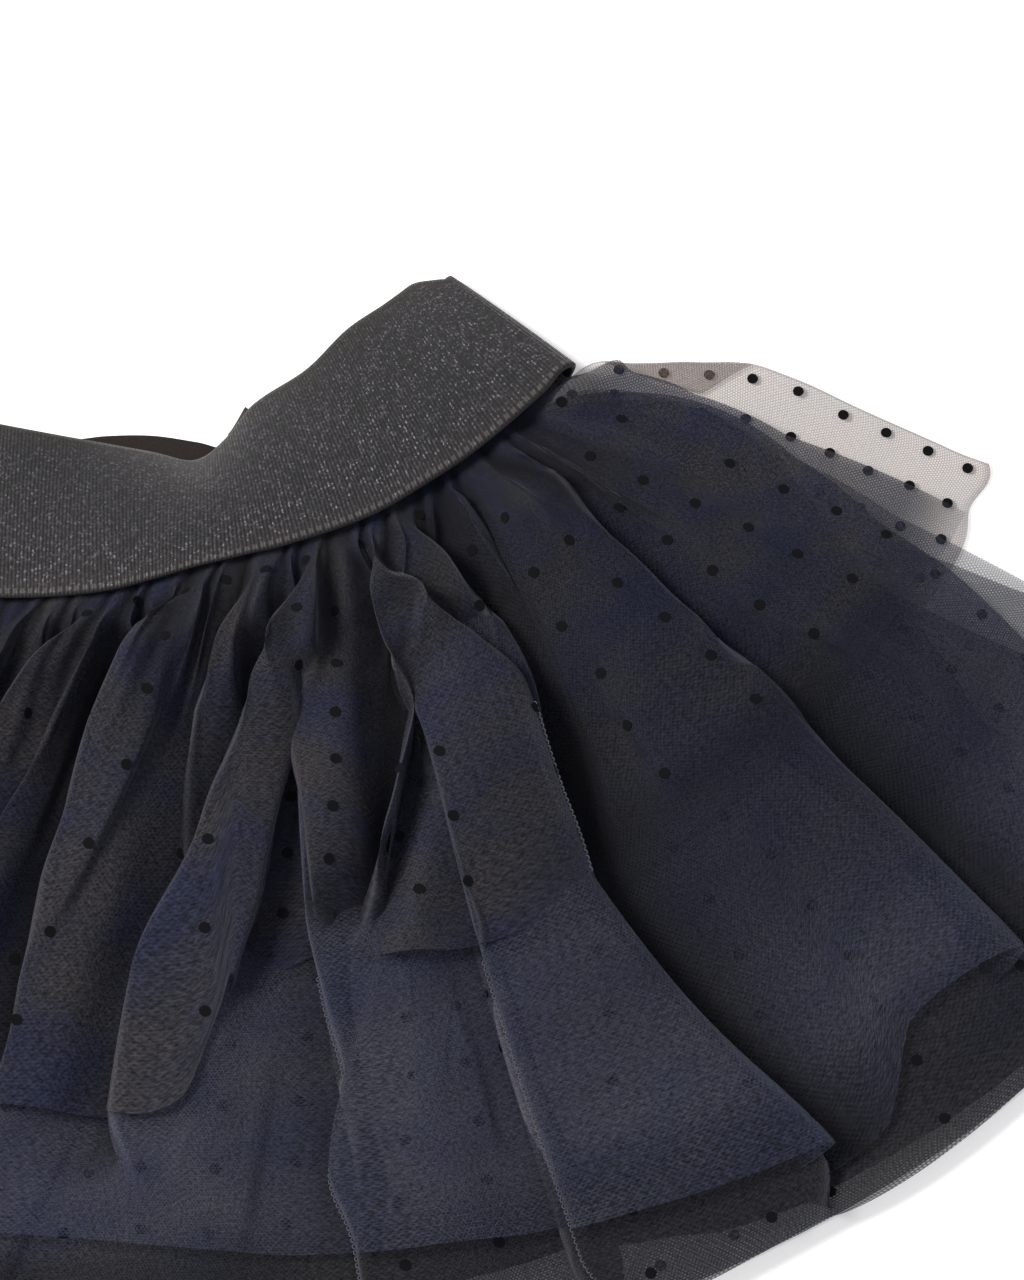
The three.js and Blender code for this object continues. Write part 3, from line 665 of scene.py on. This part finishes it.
def drape(level, t, d, seed):
    """Where cloth cut at place t lies, d below the seam: place s, height, fold edges and the painted shade in the
    hollows.
    """
    inside = 1 - ramp(HALF_SEAM - 3.5 * GATHER_PITCH, HALF_SEAM - 0.5 * GATHER_PITCH, abs(t))
    crease = Crease(t.shape)
    crease.add(FOLDS, t, d, level)
    crease.add(small_creases(seed), t, d, level)
    pocket = np.exp(-(((t - POCKET["s"]) / POCKET["half_width"]) ** 2)) * ease(0, 8, d)
    pocket = pocket * POCKET["depth"] * (1 - ramp(POCKET["d"], POCKET["d"] + POCKET["half_length"], d))
    left, push = crease.left * (1 - pocket), crease.push
    place = (t + HALF_SEAM) / GATHER_PITCH
    uneven = place + 0.22 * np.sin(place * 2.3 + 1) + 0.16 * np.sin(place * 5.1)
    near_seam = 1 - ease(14, 62, d)
    wave = 0.5 - 0.5 * np.cos(2 * math.pi * uneven)
    gathers = wave ** 0.7 * (0.9 + 2.6 * ease(0, 14, d)) * near_seam
    fine = (0.5 - 0.5 * np.cos(2 * math.pi * (2.63 * uneven + 0.02 * d))) * 0.8 * ease(0, 10, d) * near_seam
    push = push * ease(0, 24, d) + 1.25 * np.sin(2 * math.pi * uneven) * near_seam * ease(0, 10, d)
    s = np.clip(t + push * inside, -HALF_SEAM, HALF_SEAM)
    height = blend(FOLD_HEIGHT * ease(0, FOLD_RISE, d), LOW_FOLD_HEIGHT, ease(MIDDLE_LENGTH, LOWER_LENGTH, d))
    crumple = 0.35 * np.sin(0.11 * d + 0.23 * t + seed) + 0.25 * np.sin(0.19 * d - 0.31 * t + 2 * seed)
    covered_to = UPPER_LENGTH + np.maximum(read(UPPER_HEM, "reach", t), 0)
    bare = ease(covered_to - 10, covered_to + 25, d) if level < TOP_LAYER else 0.0
    fold_share = blend(LAYERS["fold"][level], min(LAYERS["fold"][level] + 0.3, 1.0), bare)
    if level == TOP_LAYER:
        pressed = 1 - (0.12 + 0.1 * ease(58, 66, t)) * ease(78, 118, d)
        fold_share = fold_share * pressed
    lift = LAYERS["puff"][level] * puff(s, d) * blend(1, left, 0.75 * ease(4, 30, d))
    lift = lift + fold_share * height * inside * left
    lift = lift + LAYERS["gather"][level] * (gathers + fine * inside)
    lift = lift + LAYERS["fold"][level] * inside * np.maximum(crumple + 0.6, 0) * ease(10, 50, d)
    side_height = SIDE_HEIGHT[level] + (BAND_WALL + GAP) * (1 - ramp(0, STEP_LENGTH, d))
    edge = HALF_SEAM - LAYERS["inset"][level] * GATHER_PITCH
    z = blend(stack_height(level, s, d) + lift, side_height, ease(edge - 15, edge, t) * ease(0, 20, d))
    # painted shade: the colour is darkened in the fold hollows, in the pocket and in the troughs between the gathers
    # near the seam
    painted_shade = np.maximum(crease.painted_shade * ease(0, 12, d) * inside, pocket)
    painted_shade = np.maximum(painted_shade, 0.9 * (1 - wave) ** 1.6 * near_seam * inside)
    return s, z, crease.edge * ease(2, 20, d) * inside, painted_shade


# How high the free right side of each front layer lies, so that it stays above those under it.
SIDE_HEIGHT = {4: 2.2, 5: 3.2, 6: 4.2, 7: 6.2}


# %% [markdown]
# A tier is one sheet of net with no thickness to see, so it is a single surface: a wall on
# both sides of a see-through net would only double the threads. Its hem is left raw, as net
# needs no hem, and wanders a little. The flat size each panel returns is the cloth as it was cut.

# %% The front panels
UPPER_HEM = table("s reach", [
    [-118, 0], [-95, -3], [-80, 3], [-60, 6], [-42, 20], [-20, 33], [-8, 36], [0, 33], [9, 35], [16, 35], [22.2, 33],
    [23.8, 3], [25, 3], [28, 8], [30, 2], [34, -8], [38.5, -14], [41, -2], [46, 2], [54, 5], [66, 5], [80, 0],
    [90, -3], [118, -4],
])
MIDDLE_HEM = table("s reach", [
    [-118, 0], [-90, 3], [-60, -2], [-30, 3], [0, -2], [30, 4], [60, 14], [72, 22], [79, 24], [80.5, 4], [84, 10],
    [88, 10], [100, 3], [118, 0],
])


LINING_REACH = 13.0  # nothing pale shows under the lower right corner, so the lining runs further there


def hem_reach(level, t):
    if level == TOP_LAYER:
        return read(UPPER_HEM, "reach", t)
    if level == TOP_LAYER - 1:
        return read(MIDDLE_HEM, "reach", t)
    more = LINING_REACH * ease(50, 72, t) if level == 4 else 0.0
    return 2.2 * np.sin(0.13 * t + level) + 1.4 * np.sin(0.37 * t + 2 * level) + more


# How far the free right side of each front layer swings out beyond the fan, in degrees.
SIDE_SWING = {
    7: ([0, 15, 37, 64, 116], [44, 32, 14, 5, 0]),
    6: ([0, 15, 30, 60, 75, 100, 150], [54, 42, 29, 13, 9, 4, 0]),
    5: ([0, 15, 30, 60, 75, 100, 150], [72, 60, 46, 28, 19, 10, 1]),
    4: ([0, 15, 30, 60, 75, 100, 150], [90, 76, 61, 41, 28, 15, 2]),
}


def side_swing(level, t, d):
    edge = HALF_SEAM - LAYERS["inset"][level] * GATHER_PITCH
    return np.interp(d, *SIDE_SWING[level]) * ramp(edge - 14, edge, t)


ROUND_RUN, ROUND_RADIUS, ROUND_MIDDLE, ROUND_TURN = 6.0, 4.7, 6.9, math.radians(150)


def round_side_fold(t, d, x, y, z):
    """At the right end the gathered net follows the band round its side fold and closes it."""
    near_band = 1 - ease(4, 22, d)
    angle = ROUND_TURN * ramp(HALF_SEAM - ROUND_RUN, HALF_SEAM, t) * near_band
    edge = band_front(HALF_SEAM, 1.0) - band_front(HALF_SEAM, 0.0)
    outward = np.array([edge[1], -edge[0]]) / math.hypot(edge[0], edge[1])
    share = ease(HALF_SEAM - 3 * ROUND_RUN, HALF_SEAM - ROUND_RUN, t) * near_band
    z = blend(z, ROUND_MIDDLE + ROUND_RADIUS * np.cos(angle), share)
    return x + outward[0] * ROUND_RADIUS * np.sin(angle), y + outward[1] * ROUND_RADIUS * np.sin(angle), z


def cut_width(t_line, length, swing=0.0):
    """Flat place of each column: how far apart the columns lie where no cloth is spare."""
    x, y = plan(t_line, np.full_like(t_line, FULL_AT * length), swing)
    return np.concatenate([[0], np.cumsum(np.hypot(np.diff(x), np.diff(y)))])


def rows_down(length, count):
    """Rows a little closer at the seam, where the gathers are small."""
    share = np.linspace(0, 1, count)
    return -SEAM_LAP + (length + SEAM_LAP) * share ** 1.15


UPPER_SEED, MIDDLE_SEED = 3, 11
BLUISH_AND_SHADE_SHARE = 0.75  # the right part of the upper tier is bluer from more folds of the bluish net under it, and darker as painted shade where it slopes away from the light
NARROW_FOLD = (37.03, 53.02)  # places where the folds are so narrow that the sheet needs more columns


def declare_panel(made, u, length, material, node):
    """Gives a panel its material and its place in the model, and returns its flat size."""
    made.data.materials.append(material)
    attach(made, "root")
    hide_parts(node)
    flat = (float(u[-1]) * MM, (length + SEAM_LAP) * MM)
    area = sum(p.area for p in made.data.polygons)
    print(made.name, len(made.data.polygons), "faces, area share", round(area / (flat[0] * flat[1]), 2))
    return flat


def front_panel(name, level, columns, rows, seed, material, node):
    edge = HALF_SEAM - LAYERS["inset"][level] * GATHER_PITCH
    length = LAYERS["length"][level]
    t_line = np.sort(np.concatenate([np.linspace(-edge, edge, columns), np.linspace(*NARROW_FOLD, columns // 4)]))
    t = np.repeat(t_line[:, None], rows, 1)
    d = np.repeat(rows_down(length, rows)[None, :], len(t_line), 0)
    cut = d.copy()
    d = d + hem_reach(level, t) * ramp(0.35 * length, length, d)
    s, z, fold_edge, painted_shade = drape(level, t, d, seed)
    x, y = plan(s, d, side_swing(level, t, d))
    if level == TOP_LAYER:
        x, y, z = round_side_fold(t, d, x, y, z)
    u = cut_width(t[:, 0], length)
    uv = np.stack(np.broadcast_arrays(u[:, None], cut + SEAM_LAP), -1).reshape(-1, 2) * MM
    made = mesh_object(name, to_frame(np.stack([x, y, z], -1)), quads(len(t_line), rows)[:, ::-1], uv)
    if level == TOP_LAYER - 2:  # painted shade: where it comes out under the middle hem it is painted as dark as the upper tier
        painted_shade = np.maximum(painted_shade, 0.9 * ease(MIDDLE_LENGTH - 12, MIDDLE_LENGTH + 8, d))
    # painted shade and bluish tone: the right part of the tiers is mixed towards darker, bluer colours
    bluish_and_shade = BLUISH_AND_SHADE_SHARE * ease(54, 70, t) * (1 - 0.7 * ease(95, 108, t))
    bluish_and_shade = bluish_and_shade * (1 if level == TOP_LAYER else 1 - ease(140, 190, d))
    sheer = 0.8 * ease(58, 64, t) * ease(98, 120, d) if level == TOP_LAYER else 0 * t
    for label, values in (("fold_edge", fold_edge), ("painted_shade", painted_shade), ("bluish_and_shade", bluish_and_shade), ("sheer", sheer)):
        made.data.attributes.new(label, "FLOAT", "POINT").data.foreach_set("value", values.astype(np.float32).ravel())
    return made, declare_panel(made, u, length, material, node)


upper_front, upper_flat = front_panel(
    "upper_tier_front_net", 7, 760, 105, UPPER_SEED, DOTTED_TULLE, "upper_tier_front")
middle_front, middle_flat = front_panel(
    "middle_tier_front_net", 6, 600, 130, MIDDLE_SEED, PLAIN_TULLE, "middle_tier_front")
lower_front, lower_flat = front_panel(
    "lower_tier_front_net", 5, 520, 130, 23, LOWER_TULLE, "lower_tier_front")
lining_front, lining_flat = front_panel(
    "lining_front_cloth", 4, 160, 60, 31, LINING, "lining_front")


# %% [markdown]
# The back panels lie flat under the rest. Only the upper one shows: its free end is swung out
# past the side of the skirt and lies there as a single see-through layer with a wavy end.

# %% The back panels
# How far the free end swings out beyond the fan, in degrees; s is how far down it.
FLAP = table("s swing", [
    [0, 62], [11, 60], [22, 41], [38, 32], [52, 28], [63, 22.7], [82, 15.4], [109, 9.7], [124, 8],
])
TURN_WIDTH, TURN_COLUMNS = 10.0, 9  # the flap's upper corner is turned over by this much


def back_panel(name, level, columns, rows, material, node):
    edge = HALF_SEAM - LAYERS["inset"][level] * GATHER_PITCH
    length = LAYERS["length"][level]
    t_line = np.linspace(-edge, edge, columns)
    if level == 0:
        flap = np.linspace(edge - GATHER_PITCH, edge, 60)
        t_line = np.concatenate([t_line[t_line < edge - GATHER_PITCH - 0.5], flap])
    t = np.repeat(t_line[:, None], rows, 1)
    d = np.repeat(rows_down(length, rows)[None, :], len(t_line), 0)
    share = ramp(HALF_SEAM - GATHER_PITCH, HALF_SEAM, t) if level == 0 else np.zeros_like(t)
    swing = share * read(FLAP, "swing", np.clip(d, 0, UPPER_LENGTH + 4))
    wave = 0.9 * share * ease(30, UPPER_LENGTH, d) * (1 + np.sin(5.2 * share + 0.06 * d))
    d_wavy = d + share * ramp(60, UPPER_LENGTH, d) * (2.2 * np.sin(9 * share) - 2)
    x, y = plan(t, d_wavy, swing)
    z = stack_height(level, t, d) + wave
    if level == 0:
        turned = np.linspace(0, 1, TURN_COLUMNS)[1:, None]
        back_in = TURN_WIDTH * np.interp(d[-1:], [14, 38, 54], [0, 1, 0])
        x = np.concatenate([x, x[-1:] + 0 * turned])
        y = np.concatenate([y, y[-1:] - back_in * turned])
        z = np.concatenate([z, z[-1:] + 0.6 + 0 * turned])
        t_line = np.concatenate([t_line, edge + turned[:, 0] * 0.01])
        share = np.concatenate([share, np.ones((TURN_COLUMNS - 1, rows))])
        d = np.concatenate([d, np.repeat(d[-1:], TURN_COLUMNS - 1, 0)])
    u = cut_width(t_line, length, share[:, -1] * float(read(FLAP, "swing", FULL_AT * UPPER_LENGTH)))
    if level == 0:
        u[1 - TURN_COLUMNS:] = u[-TURN_COLUMNS] + TURN_WIDTH * turned[:, 0]
    uv = np.stack(np.broadcast_arrays(u[:, None], d + SEAM_LAP), -1).reshape(-1, 2) * MM
    made = mesh_object(name, to_frame(np.stack([x, y, z], -1)), quads(len(t_line), rows)[:, ::-1], uv)
    if level == 0:
        selvedge = np.zeros(d.shape, np.float32)
        selvedge[[-TURN_COLUMNS, -1]] = 1.0
        selvedge[:, -1] = np.maximum(selvedge[:, -1], share[:, -1])
        made.data.attributes.new("fold_edge", "FLOAT", "POINT").data.foreach_set("value", selvedge.ravel())
    return made, declare_panel(made, u, length, material, node)


upper_back, upper_back_flat = back_panel(
    "upper_tier_back_net", 0, 180, 60, DOTTED_SINGLE, "upper_tier_back")
middle_back, middle_back_flat = back_panel(
    "middle_tier_back_net", 1, 160, 60, PLAIN_TULLE, "middle_tier_back")
lower_back, lower_back_flat = back_panel(
    "lower_tier_back_net", 2, 160, 60, DOTTED_TULLE, "lower_tier_back")
lining_back, lining_back_flat = back_panel(
    "lining_back_cloth", 3, 120, 40, LINING, "lining_back")


# %% [markdown]
# The dots repeat over the cloth in a square grid, so Geometry Nodes place them. A grid of
# points in the cloth's flat coordinates is looked up on the draped sheet, and a small disc is
# set on each, turned to face as the cloth does. This way the dots follow every fold.

# %% Dots
DOT_SPACING = 16.3
DOT_RADIUS = 1.5
DOT_MARGIN = 1.3 * DOT_RADIUS  # no dot comes nearer to the cut edges
DOT_LIFT = 0.22
FLAP_DOT_SPACING = 12.0  # the free end shows its dots closer together than the rest
FIRST_ROW = 12.0  # from the upper cut edge to the first row
FIRST_DOT, EDGE_DOT = 3.0, 3.6  # from the cut edge to the first dots, and from the flap's edge to its last


def node_group(name, sockets):
    tree = bpy.data.node_groups.new(name, "GeometryNodeTree")
    tree.interface.new_socket("Geometry", in_out="INPUT", socket_type="NodeSocketGeometry")
    for label, kind in sockets:
        tree.interface.new_socket(label, in_out="INPUT", socket_type=kind)
    tree.interface.new_socket("Geometry", in_out="OUTPUT", socket_type="NodeSocketGeometry")
    return tree


def dot_tree():
    tree = node_group("dots_on_cloth", [
        ("Columns", "NodeSocketInt"), ("Rows", "NodeSocketInt"), ("Spacing", "NodeSocketFloat"),
        ("Start", "NodeSocketFloat"), ("Width", "NodeSocketFloat"), ("Length", "NodeSocketFloat"),
        ("Radius", "NodeSocketFloat"), ("Lift", "NodeSocketFloat"), ("Finish", "NodeSocketMaterial")])
    given = add(tree, "NodeGroupInput")
    one_less_x = add(tree, "ShaderNodeMath", {0: given.outputs["Columns"], 1: 1.0}, operation="SUBTRACT")
    one_less_y = add(tree, "ShaderNodeMath", {0: given.outputs["Rows"], 1: 1.0}, operation="SUBTRACT")
    size_x = add(tree, "ShaderNodeMath", {0: one_less_x.outputs[0], 1: given.outputs["Spacing"]}, operation="MULTIPLY")
    size_y = add(tree, "ShaderNodeMath", {0: one_less_y.outputs[0], 1: given.outputs["Spacing"]}, operation="MULTIPLY")
    grid = add(tree, "GeometryNodeMeshGrid", {
        "Size X": size_x.outputs[0], "Size Y": size_y.outputs[0],
        "Vertices X": given.outputs["Columns"], "Vertices Y": given.outputs["Rows"]})
    half = add(tree, "ShaderNodeCombineXYZ", {0: size_x.outputs[0], 1: size_y.outputs[0]})
    half = add(tree, "ShaderNodeVectorMath", {0: half.outputs[0], "Scale": 0.5}, operation="SCALE")
    first = add(tree, "ShaderNodeCombineXYZ", {0: given.outputs["Start"], 1: FIRST_ROW * MM})
    margin = add(tree, "ShaderNodeVectorMath", {0: half.outputs[0], 1: first.outputs[0]}, operation="ADD")
    place = add(tree, "GeometryNodeInputPosition")
    jitter = add(tree, "FunctionNodeRandomValue", {0: (-0.0006, -0.0006, 0.0), 1: (0.0006, 0.0006, 0.0), "Seed": 4},
                 data_type="FLOAT_VECTOR")
    spot = add(tree, "ShaderNodeVectorMath", {0: place.outputs[0], 1: margin.outputs[0]}, operation="ADD")
    spot = add(tree, "ShaderNodeVectorMath", {0: spot.outputs[0], 1: jitter.outputs[0]}, operation="ADD")
    flat = add(tree, "GeometryNodeInputNamedAttribute", {"Name": "UVMap"}, data_type="FLOAT_VECTOR")
    on_cloth = add(tree, "GeometryNodeSampleUVSurface", {
        "Mesh": given.outputs["Geometry"], "Value": place.outputs[0], "UV Map": flat.outputs[0],
        "Sample UV": spot.outputs[0]}, data_type="FLOAT_VECTOR")
    normal = add(tree, "GeometryNodeInputNormal")
    facing = add(tree, "GeometryNodeSampleUVSurface", {
        "Mesh": given.outputs["Geometry"], "Value": normal.outputs[0], "UV Map": flat.outputs[0],
        "Sample UV": spot.outputs[0]}, data_type="FLOAT_VECTOR")
    down = add(tree, "ShaderNodeSeparateXYZ", {0: spot.outputs[0]})
    in_width = add(tree, "FunctionNodeCompare", {0: down.outputs[0], 1: given.outputs["Width"]}, data_type="FLOAT",
                   operation="LESS_THAN")
    in_length = add(tree, "FunctionNodeCompare", {0: down.outputs[1], 1: given.outputs["Length"]}, data_type="FLOAT",
                    operation="LESS_THAN")
    in_cut = add(tree, "FunctionNodeBooleanMath", {0: in_width.outputs[0], 1: in_length.outputs[0]}, operation="AND")
    shown = add(tree, "ShaderNodeMapRange", {"Value": down.outputs[1], "From Min": 0.0, "From Max": 0.07,
                                             "To Min": 0.5, "To Max": 1.0})
    lot = add(tree, "FunctionNodeRandomValue", {"Seed": 9}, data_type="FLOAT")
    seen = add(tree, "FunctionNodeCompare", {0: lot.outputs[1], 1: shown.outputs[0]}, data_type="FLOAT",
               operation="LESS_THAN")
    shown_spot = add(tree, "FunctionNodeBooleanMath", {0: on_cloth.outputs["Is Valid"], 1: seen.outputs[0]},
                     operation="AND")
    kept_spot = add(tree, "FunctionNodeBooleanMath", {0: shown_spot.outputs[0], 1: in_cut.outputs[0]}, operation="AND")
    kept = add(tree, "GeometryNodeStoreNamedAttribute", {
        "Geometry": grid.outputs[0], "Name": "facing", "Value": facing.outputs["Value"]},
        data_type="FLOAT_VECTOR", domain="POINT")
    valid = add(tree, "GeometryNodeStoreNamedAttribute", {
        "Geometry": kept.outputs[0], "Name": "valid", "Value": kept_spot.outputs[0]},
        data_type="BOOLEAN", domain="POINT")
    moved = add(tree, "GeometryNodeSetPosition", {"Geometry": valid.outputs[0], "Position": on_cloth.outputs["Value"]})
    facing_read = add(tree, "GeometryNodeInputNamedAttribute", {"Name": "facing"}, data_type="FLOAT_VECTOR")
    lift = add(tree, "ShaderNodeVectorMath", {0: facing_read.outputs[0], "Scale": given.outputs["Lift"]},
               operation="SCALE")
    lifted = add(tree, "GeometryNodeSetPosition", {"Geometry": moved.outputs[0], "Offset": lift.outputs[0]})
    turn = add(tree, "FunctionNodeAlignRotationToVector", {"Vector": facing_read.outputs[0]}, axis="Z")
    valid_read = add(tree, "GeometryNodeInputNamedAttribute", {"Name": "valid"}, data_type="BOOLEAN")
    disc = add(tree, "GeometryNodeMeshCircle", {"Vertices": 16, "Radius": given.outputs["Radius"]},
               fill_type="TRIANGLE_FAN")
    dots = add(tree, "GeometryNodeInstanceOnPoints", {
        "Points": lifted.outputs[0], "Selection": valid_read.outputs[0], "Instance": disc.outputs[0],
        "Rotation": turn.outputs[0]})
    real = add(tree, "GeometryNodeRealizeInstances", {"Geometry": dots.outputs[0]})
    finished = add(tree, "GeometryNodeSetMaterial", {"Geometry": real.outputs[0], "Material": given.outputs["Finish"]})
    out = add(tree, "NodeGroupOutput")
    tree.links.new(finished.outputs[0], out.inputs[0])
    return tree


DOT_TREE = dot_tree()


def nodes_to_mesh(name, source, tree, values, material):
    """Runs a node tree on a copy of the source and keeps the result as a plain mesh object."""
    helper = bpy.data.objects.new(name + "_helper", source)
    bpy.context.scene.collection.objects.link(helper)
    modifier = helper.modifiers.new("nodes", "NODES")
    modifier.node_group = tree
    identifiers = {s.name: s.identifier for s in tree.interface.items_tree if s.in_out == "INPUT"}
    for label, value in values.items():
        modifier[identifiers[label]] = value
    graph = bpy.context.evaluated_depsgraph_get()
    mesh = bpy.data.meshes.new_from_object(helper.evaluated_get(graph))
    helper.modifiers.clear()
    bpy.data.objects.remove(helper)
    mesh.name = name
    mesh.materials.clear()
    mesh.materials.append(material)
    made = bpy.data.objects.new(name, mesh)
    bpy.context.scene.collection.objects.link(made)
    return made


def put_dots(name, sheet_object, flat, spacing=DOT_SPACING, turned=0.0):
    start = (flat[0] / MM - turned - EDGE_DOT) % spacing if turned else FIRST_DOT
    made = nodes_to_mesh(name, sheet_object.data, DOT_TREE, {"Start": start * MM,
        "Columns": int(flat[0] / (spacing * MM)) + 1, "Rows": int(flat[1] / (spacing * MM)) + 1,
        "Spacing": spacing * MM, "Width": flat[0] - (turned + DOT_MARGIN) * MM, "Length": flat[1] - DOT_MARGIN * MM,
        "Radius": DOT_RADIUS * MM, "Lift": DOT_LIFT * MM, "Finish": FLOCK}, FLOCK)
    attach(made, "root")
    print(name, len(made.data.polygons), "faces")
    return made


upper_front_dots = put_dots("upper_tier_front_dots", upper_front, upper_flat)
lower_front_dots = put_dots("lower_tier_front_dots", lower_front, lower_flat)
upper_back_dots = put_dots("upper_tier_back_dots", upper_back, upper_back_flat, FLAP_DOT_SPACING, TURN_WIDTH)
lower_back_dots = put_dots("lower_tier_back_dots", lower_back, lower_back_flat)


# %% [markdown]
# Where the net is folded back on its machine edge, a row of small loops stands along the fold
# like a zigzag. Geometry Nodes set them: the fold's edge is given as a line that also knows
# which way is outward, the tree spaces points along it and puts one small thread arc on each.

# %% Edge loops
LOOP_SPACING, LOOP_SIZE, LOOP_THREAD = 1.6, 0.62, 0.13


def loop_tree():
    tree = node_group("edge_loops", [
        ("Spacing", "NodeSocketFloat"), ("Size", "NodeSocketFloat"), ("Thread", "NodeSocketFloat"),
        ("Finish", "NodeSocketMaterial")])
    given = add(tree, "NodeGroupInput")
    line = add(tree, "GeometryNodeMeshToCurve", {0: given.outputs["Geometry"]})
    spaced = add(tree, "GeometryNodeResampleCurve", {"Curve": line.outputs[0], "Length": given.outputs["Spacing"]},
                 mode="LENGTH")
    points = add(tree, "GeometryNodeCurveToPoints", {"Curve": spaced.outputs[0]}, mode="EVALUATED")
    outward = add(tree, "GeometryNodeInputNamedAttribute", {"Name": "outward"}, data_type="FLOAT_VECTOR")
    faced = add(tree, "FunctionNodeAlignRotationToVector", {"Vector": outward.outputs[0]}, axis="X")
    level = add(tree, "FunctionNodeAlignRotationToVector", {"Rotation": faced.outputs[0], "Vector": (0.0, 0.0, 1.0)},
                axis="Z", pivot_axis="X")
    arc = add(tree, "GeometryNodeCurveArc", {"Resolution": 7, "Radius": given.outputs["Size"],
                                             "Start Angle": -math.pi / 2, "Sweep Angle": math.pi})
    profile = add(tree, "GeometryNodeCurvePrimitiveCircle", {"Resolution": 4, "Radius": given.outputs["Thread"]})
    thread = add(tree, "GeometryNodeCurveToMesh", {"Curve": arc.outputs[0], "Profile Curve": profile.outputs[0]})
    loops = add(tree, "GeometryNodeInstanceOnPoints", {
        "Points": points.outputs[0], "Instance": thread.outputs[0], "Rotation": level.outputs[0]})
    real = add(tree, "GeometryNodeRealizeInstances", {"Geometry": loops.outputs[0]})
    finished = add(tree, "GeometryNodeSetMaterial", {"Geometry": real.outputs[0], "Material": given.outputs["Finish"]})
    out = add(tree, "NodeGroupOutput")
    tree.links.new(finished.outputs[0], out.inputs[0])
    return tree


LOOP_TREE = loop_tree()
EDGE_THREAD = plain_cloth("edge_loop_thread", ("#3f414b", "#54565f"), 0.7, 0.4, 0.3)


def fold_line(row, level, d_from, d_to, seed):
    """Points along the edge of one main fold on one tier, and the outward direction at each."""
    d = np.linspace(d_from, d_to, 60)
    middle = np.interp(d, FOLD_PLACES, [FOLDS[c][row] for c in ("seam", "top", "mid", "hem", "end")])
    width = FOLDS["width"][row] * (1 - FOLDS["taper"][row] * ease(32, 95, d))
    turn_at, overhang = fold_turn(FOLDS["hang"][row])
    t = (middle - FOLDS["side"][row] * width * (turn_at + overhang))[:, None]
    s, z, _, _ = drape(level, t, d[:, None], seed)
    x, y = plan(s, d[:, None])
    lean = np.radians(read(FAN, "lean", s))
    outward = np.stack([np.cos(lean), np.sin(lean), 0 * lean], -1)[:, 0] * FOLDS["side"][row]
    return np.stack([x, y, z + 0.25], -1)[:, 0], outward


def edge_loops(name, lines):
    points = np.concatenate([line[0] for line in lines])
    starts = np.cumsum([0] + [len(line[0]) for line in lines])
    edges = [(i, i + 1) for a, b in zip(starts[:-1], starts[1:]) for i in range(a, b - 1)]
    path = bpy.data.meshes.new(name + "_path")
    path.from_pydata(to_frame(points).tolist(), edges, [])
    outward = np.concatenate([line[1] for line in lines]).astype(np.float32)
    path.attributes.new("outward", "FLOAT_VECTOR", "POINT").data.foreach_set("vector", outward.ravel())
    made = nodes_to_mesh(name, path, LOOP_TREE, {
        "Spacing": LOOP_SPACING * MM, "Size": LOOP_SIZE * MM, "Thread": LOOP_THREAD * MM, "Finish": EDGE_THREAD},
        EDGE_THREAD)
    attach(made, "root")
    print(name, len(made.data.polygons), "faces")
    return made


FORK, SPLIT, BIG_FOLD = [int(np.argmin(abs(FOLDS["mid"] - m) + 9 * (FOLDS["side"] != k)))
                         for m, k in ((31.8, -1), (52, -1), (71, 1))]
middle_loops = edge_loops("middle_tier_edge_loops", [
    fold_line(FORK, 6, 124, 222, MIDDLE_SEED), fold_line(SPLIT, 6, 130, 222, MIDDLE_SEED)])
upper_loops = edge_loops("upper_tier_edge_loops", [fold_line(BIG_FOLD, 7, 72, 118, UPPER_SEED)])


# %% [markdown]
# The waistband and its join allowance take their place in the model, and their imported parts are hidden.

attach(waistband, "root")
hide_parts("waistband")
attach(join, "root")
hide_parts("waistband_join")


# %% [markdown]
# The picture is a cut-out on white, lit softly from above. A white floor, an even world and one
# large soft light from above left give the same even look, with just enough direction to
# shade the folds. Many sheer layers lie on each other, so rays may pass through many surfaces.

# %% Floor, lights and render depth
floor_mesh = bpy.data.meshes.new("floor")
floor_mesh.from_pydata([(-3, -3, 0), (3, -3, 0), (3, 3, 0), (-3, 3, 0)], [], [(0, 1, 2, 3)])
floor = bpy.data.objects.new("floor", floor_mesh)
floor.location.z = -0.0002
bpy.context.scene.collection.objects.link(floor)
paper = new_material("white_table")
paper_shader = add(paper.node_tree, "ShaderNodeBsdfPrincipled", {
    "Base Color": linear("#f4f3f2"), "Roughness": 0.9, "Specular IOR Level": 0.1,
    "Emission Color": linear("#ffffff"), "Emission Strength": 0.25})
finish_material(paper, paper_shader.outputs[0])
floor_mesh.materials.append(paper)


def area_light(name, place, size, power, colour):
    data = bpy.data.lights.new(name, "AREA")
    data.shape, data.size, data.energy, data.color = "DISK", size, power, linear(colour)[:3]
    made = bpy.data.objects.new(name, data)
    made.location = place
    made.rotation_mode = "QUATERNION"
    made.rotation_quaternion = (-Vector(place)).to_track_quat("-Z", "Y")
    bpy.context.scene.collection.objects.link(made)


area_light("key_above_left", (-1.05, 0.4, 1.35), 0.7, 42, "#fffaf4")
area_light("fill_right", (0.6, -1.0, 1.7), 1.4, 6, "#e6ecff")
world = bpy.data.worlds.new("soft_room")
world.use_nodes = True
sky = world.node_tree.nodes["Background"]
sky.inputs["Color"].default_value = linear("#f6f7fb")
sky.inputs["Strength"].default_value = 0.38
bpy.context.scene.world = world
bpy.context.scene.view_settings.view_transform = "Standard"
bpy.context.scene.cycles.transparent_max_bounces = 40
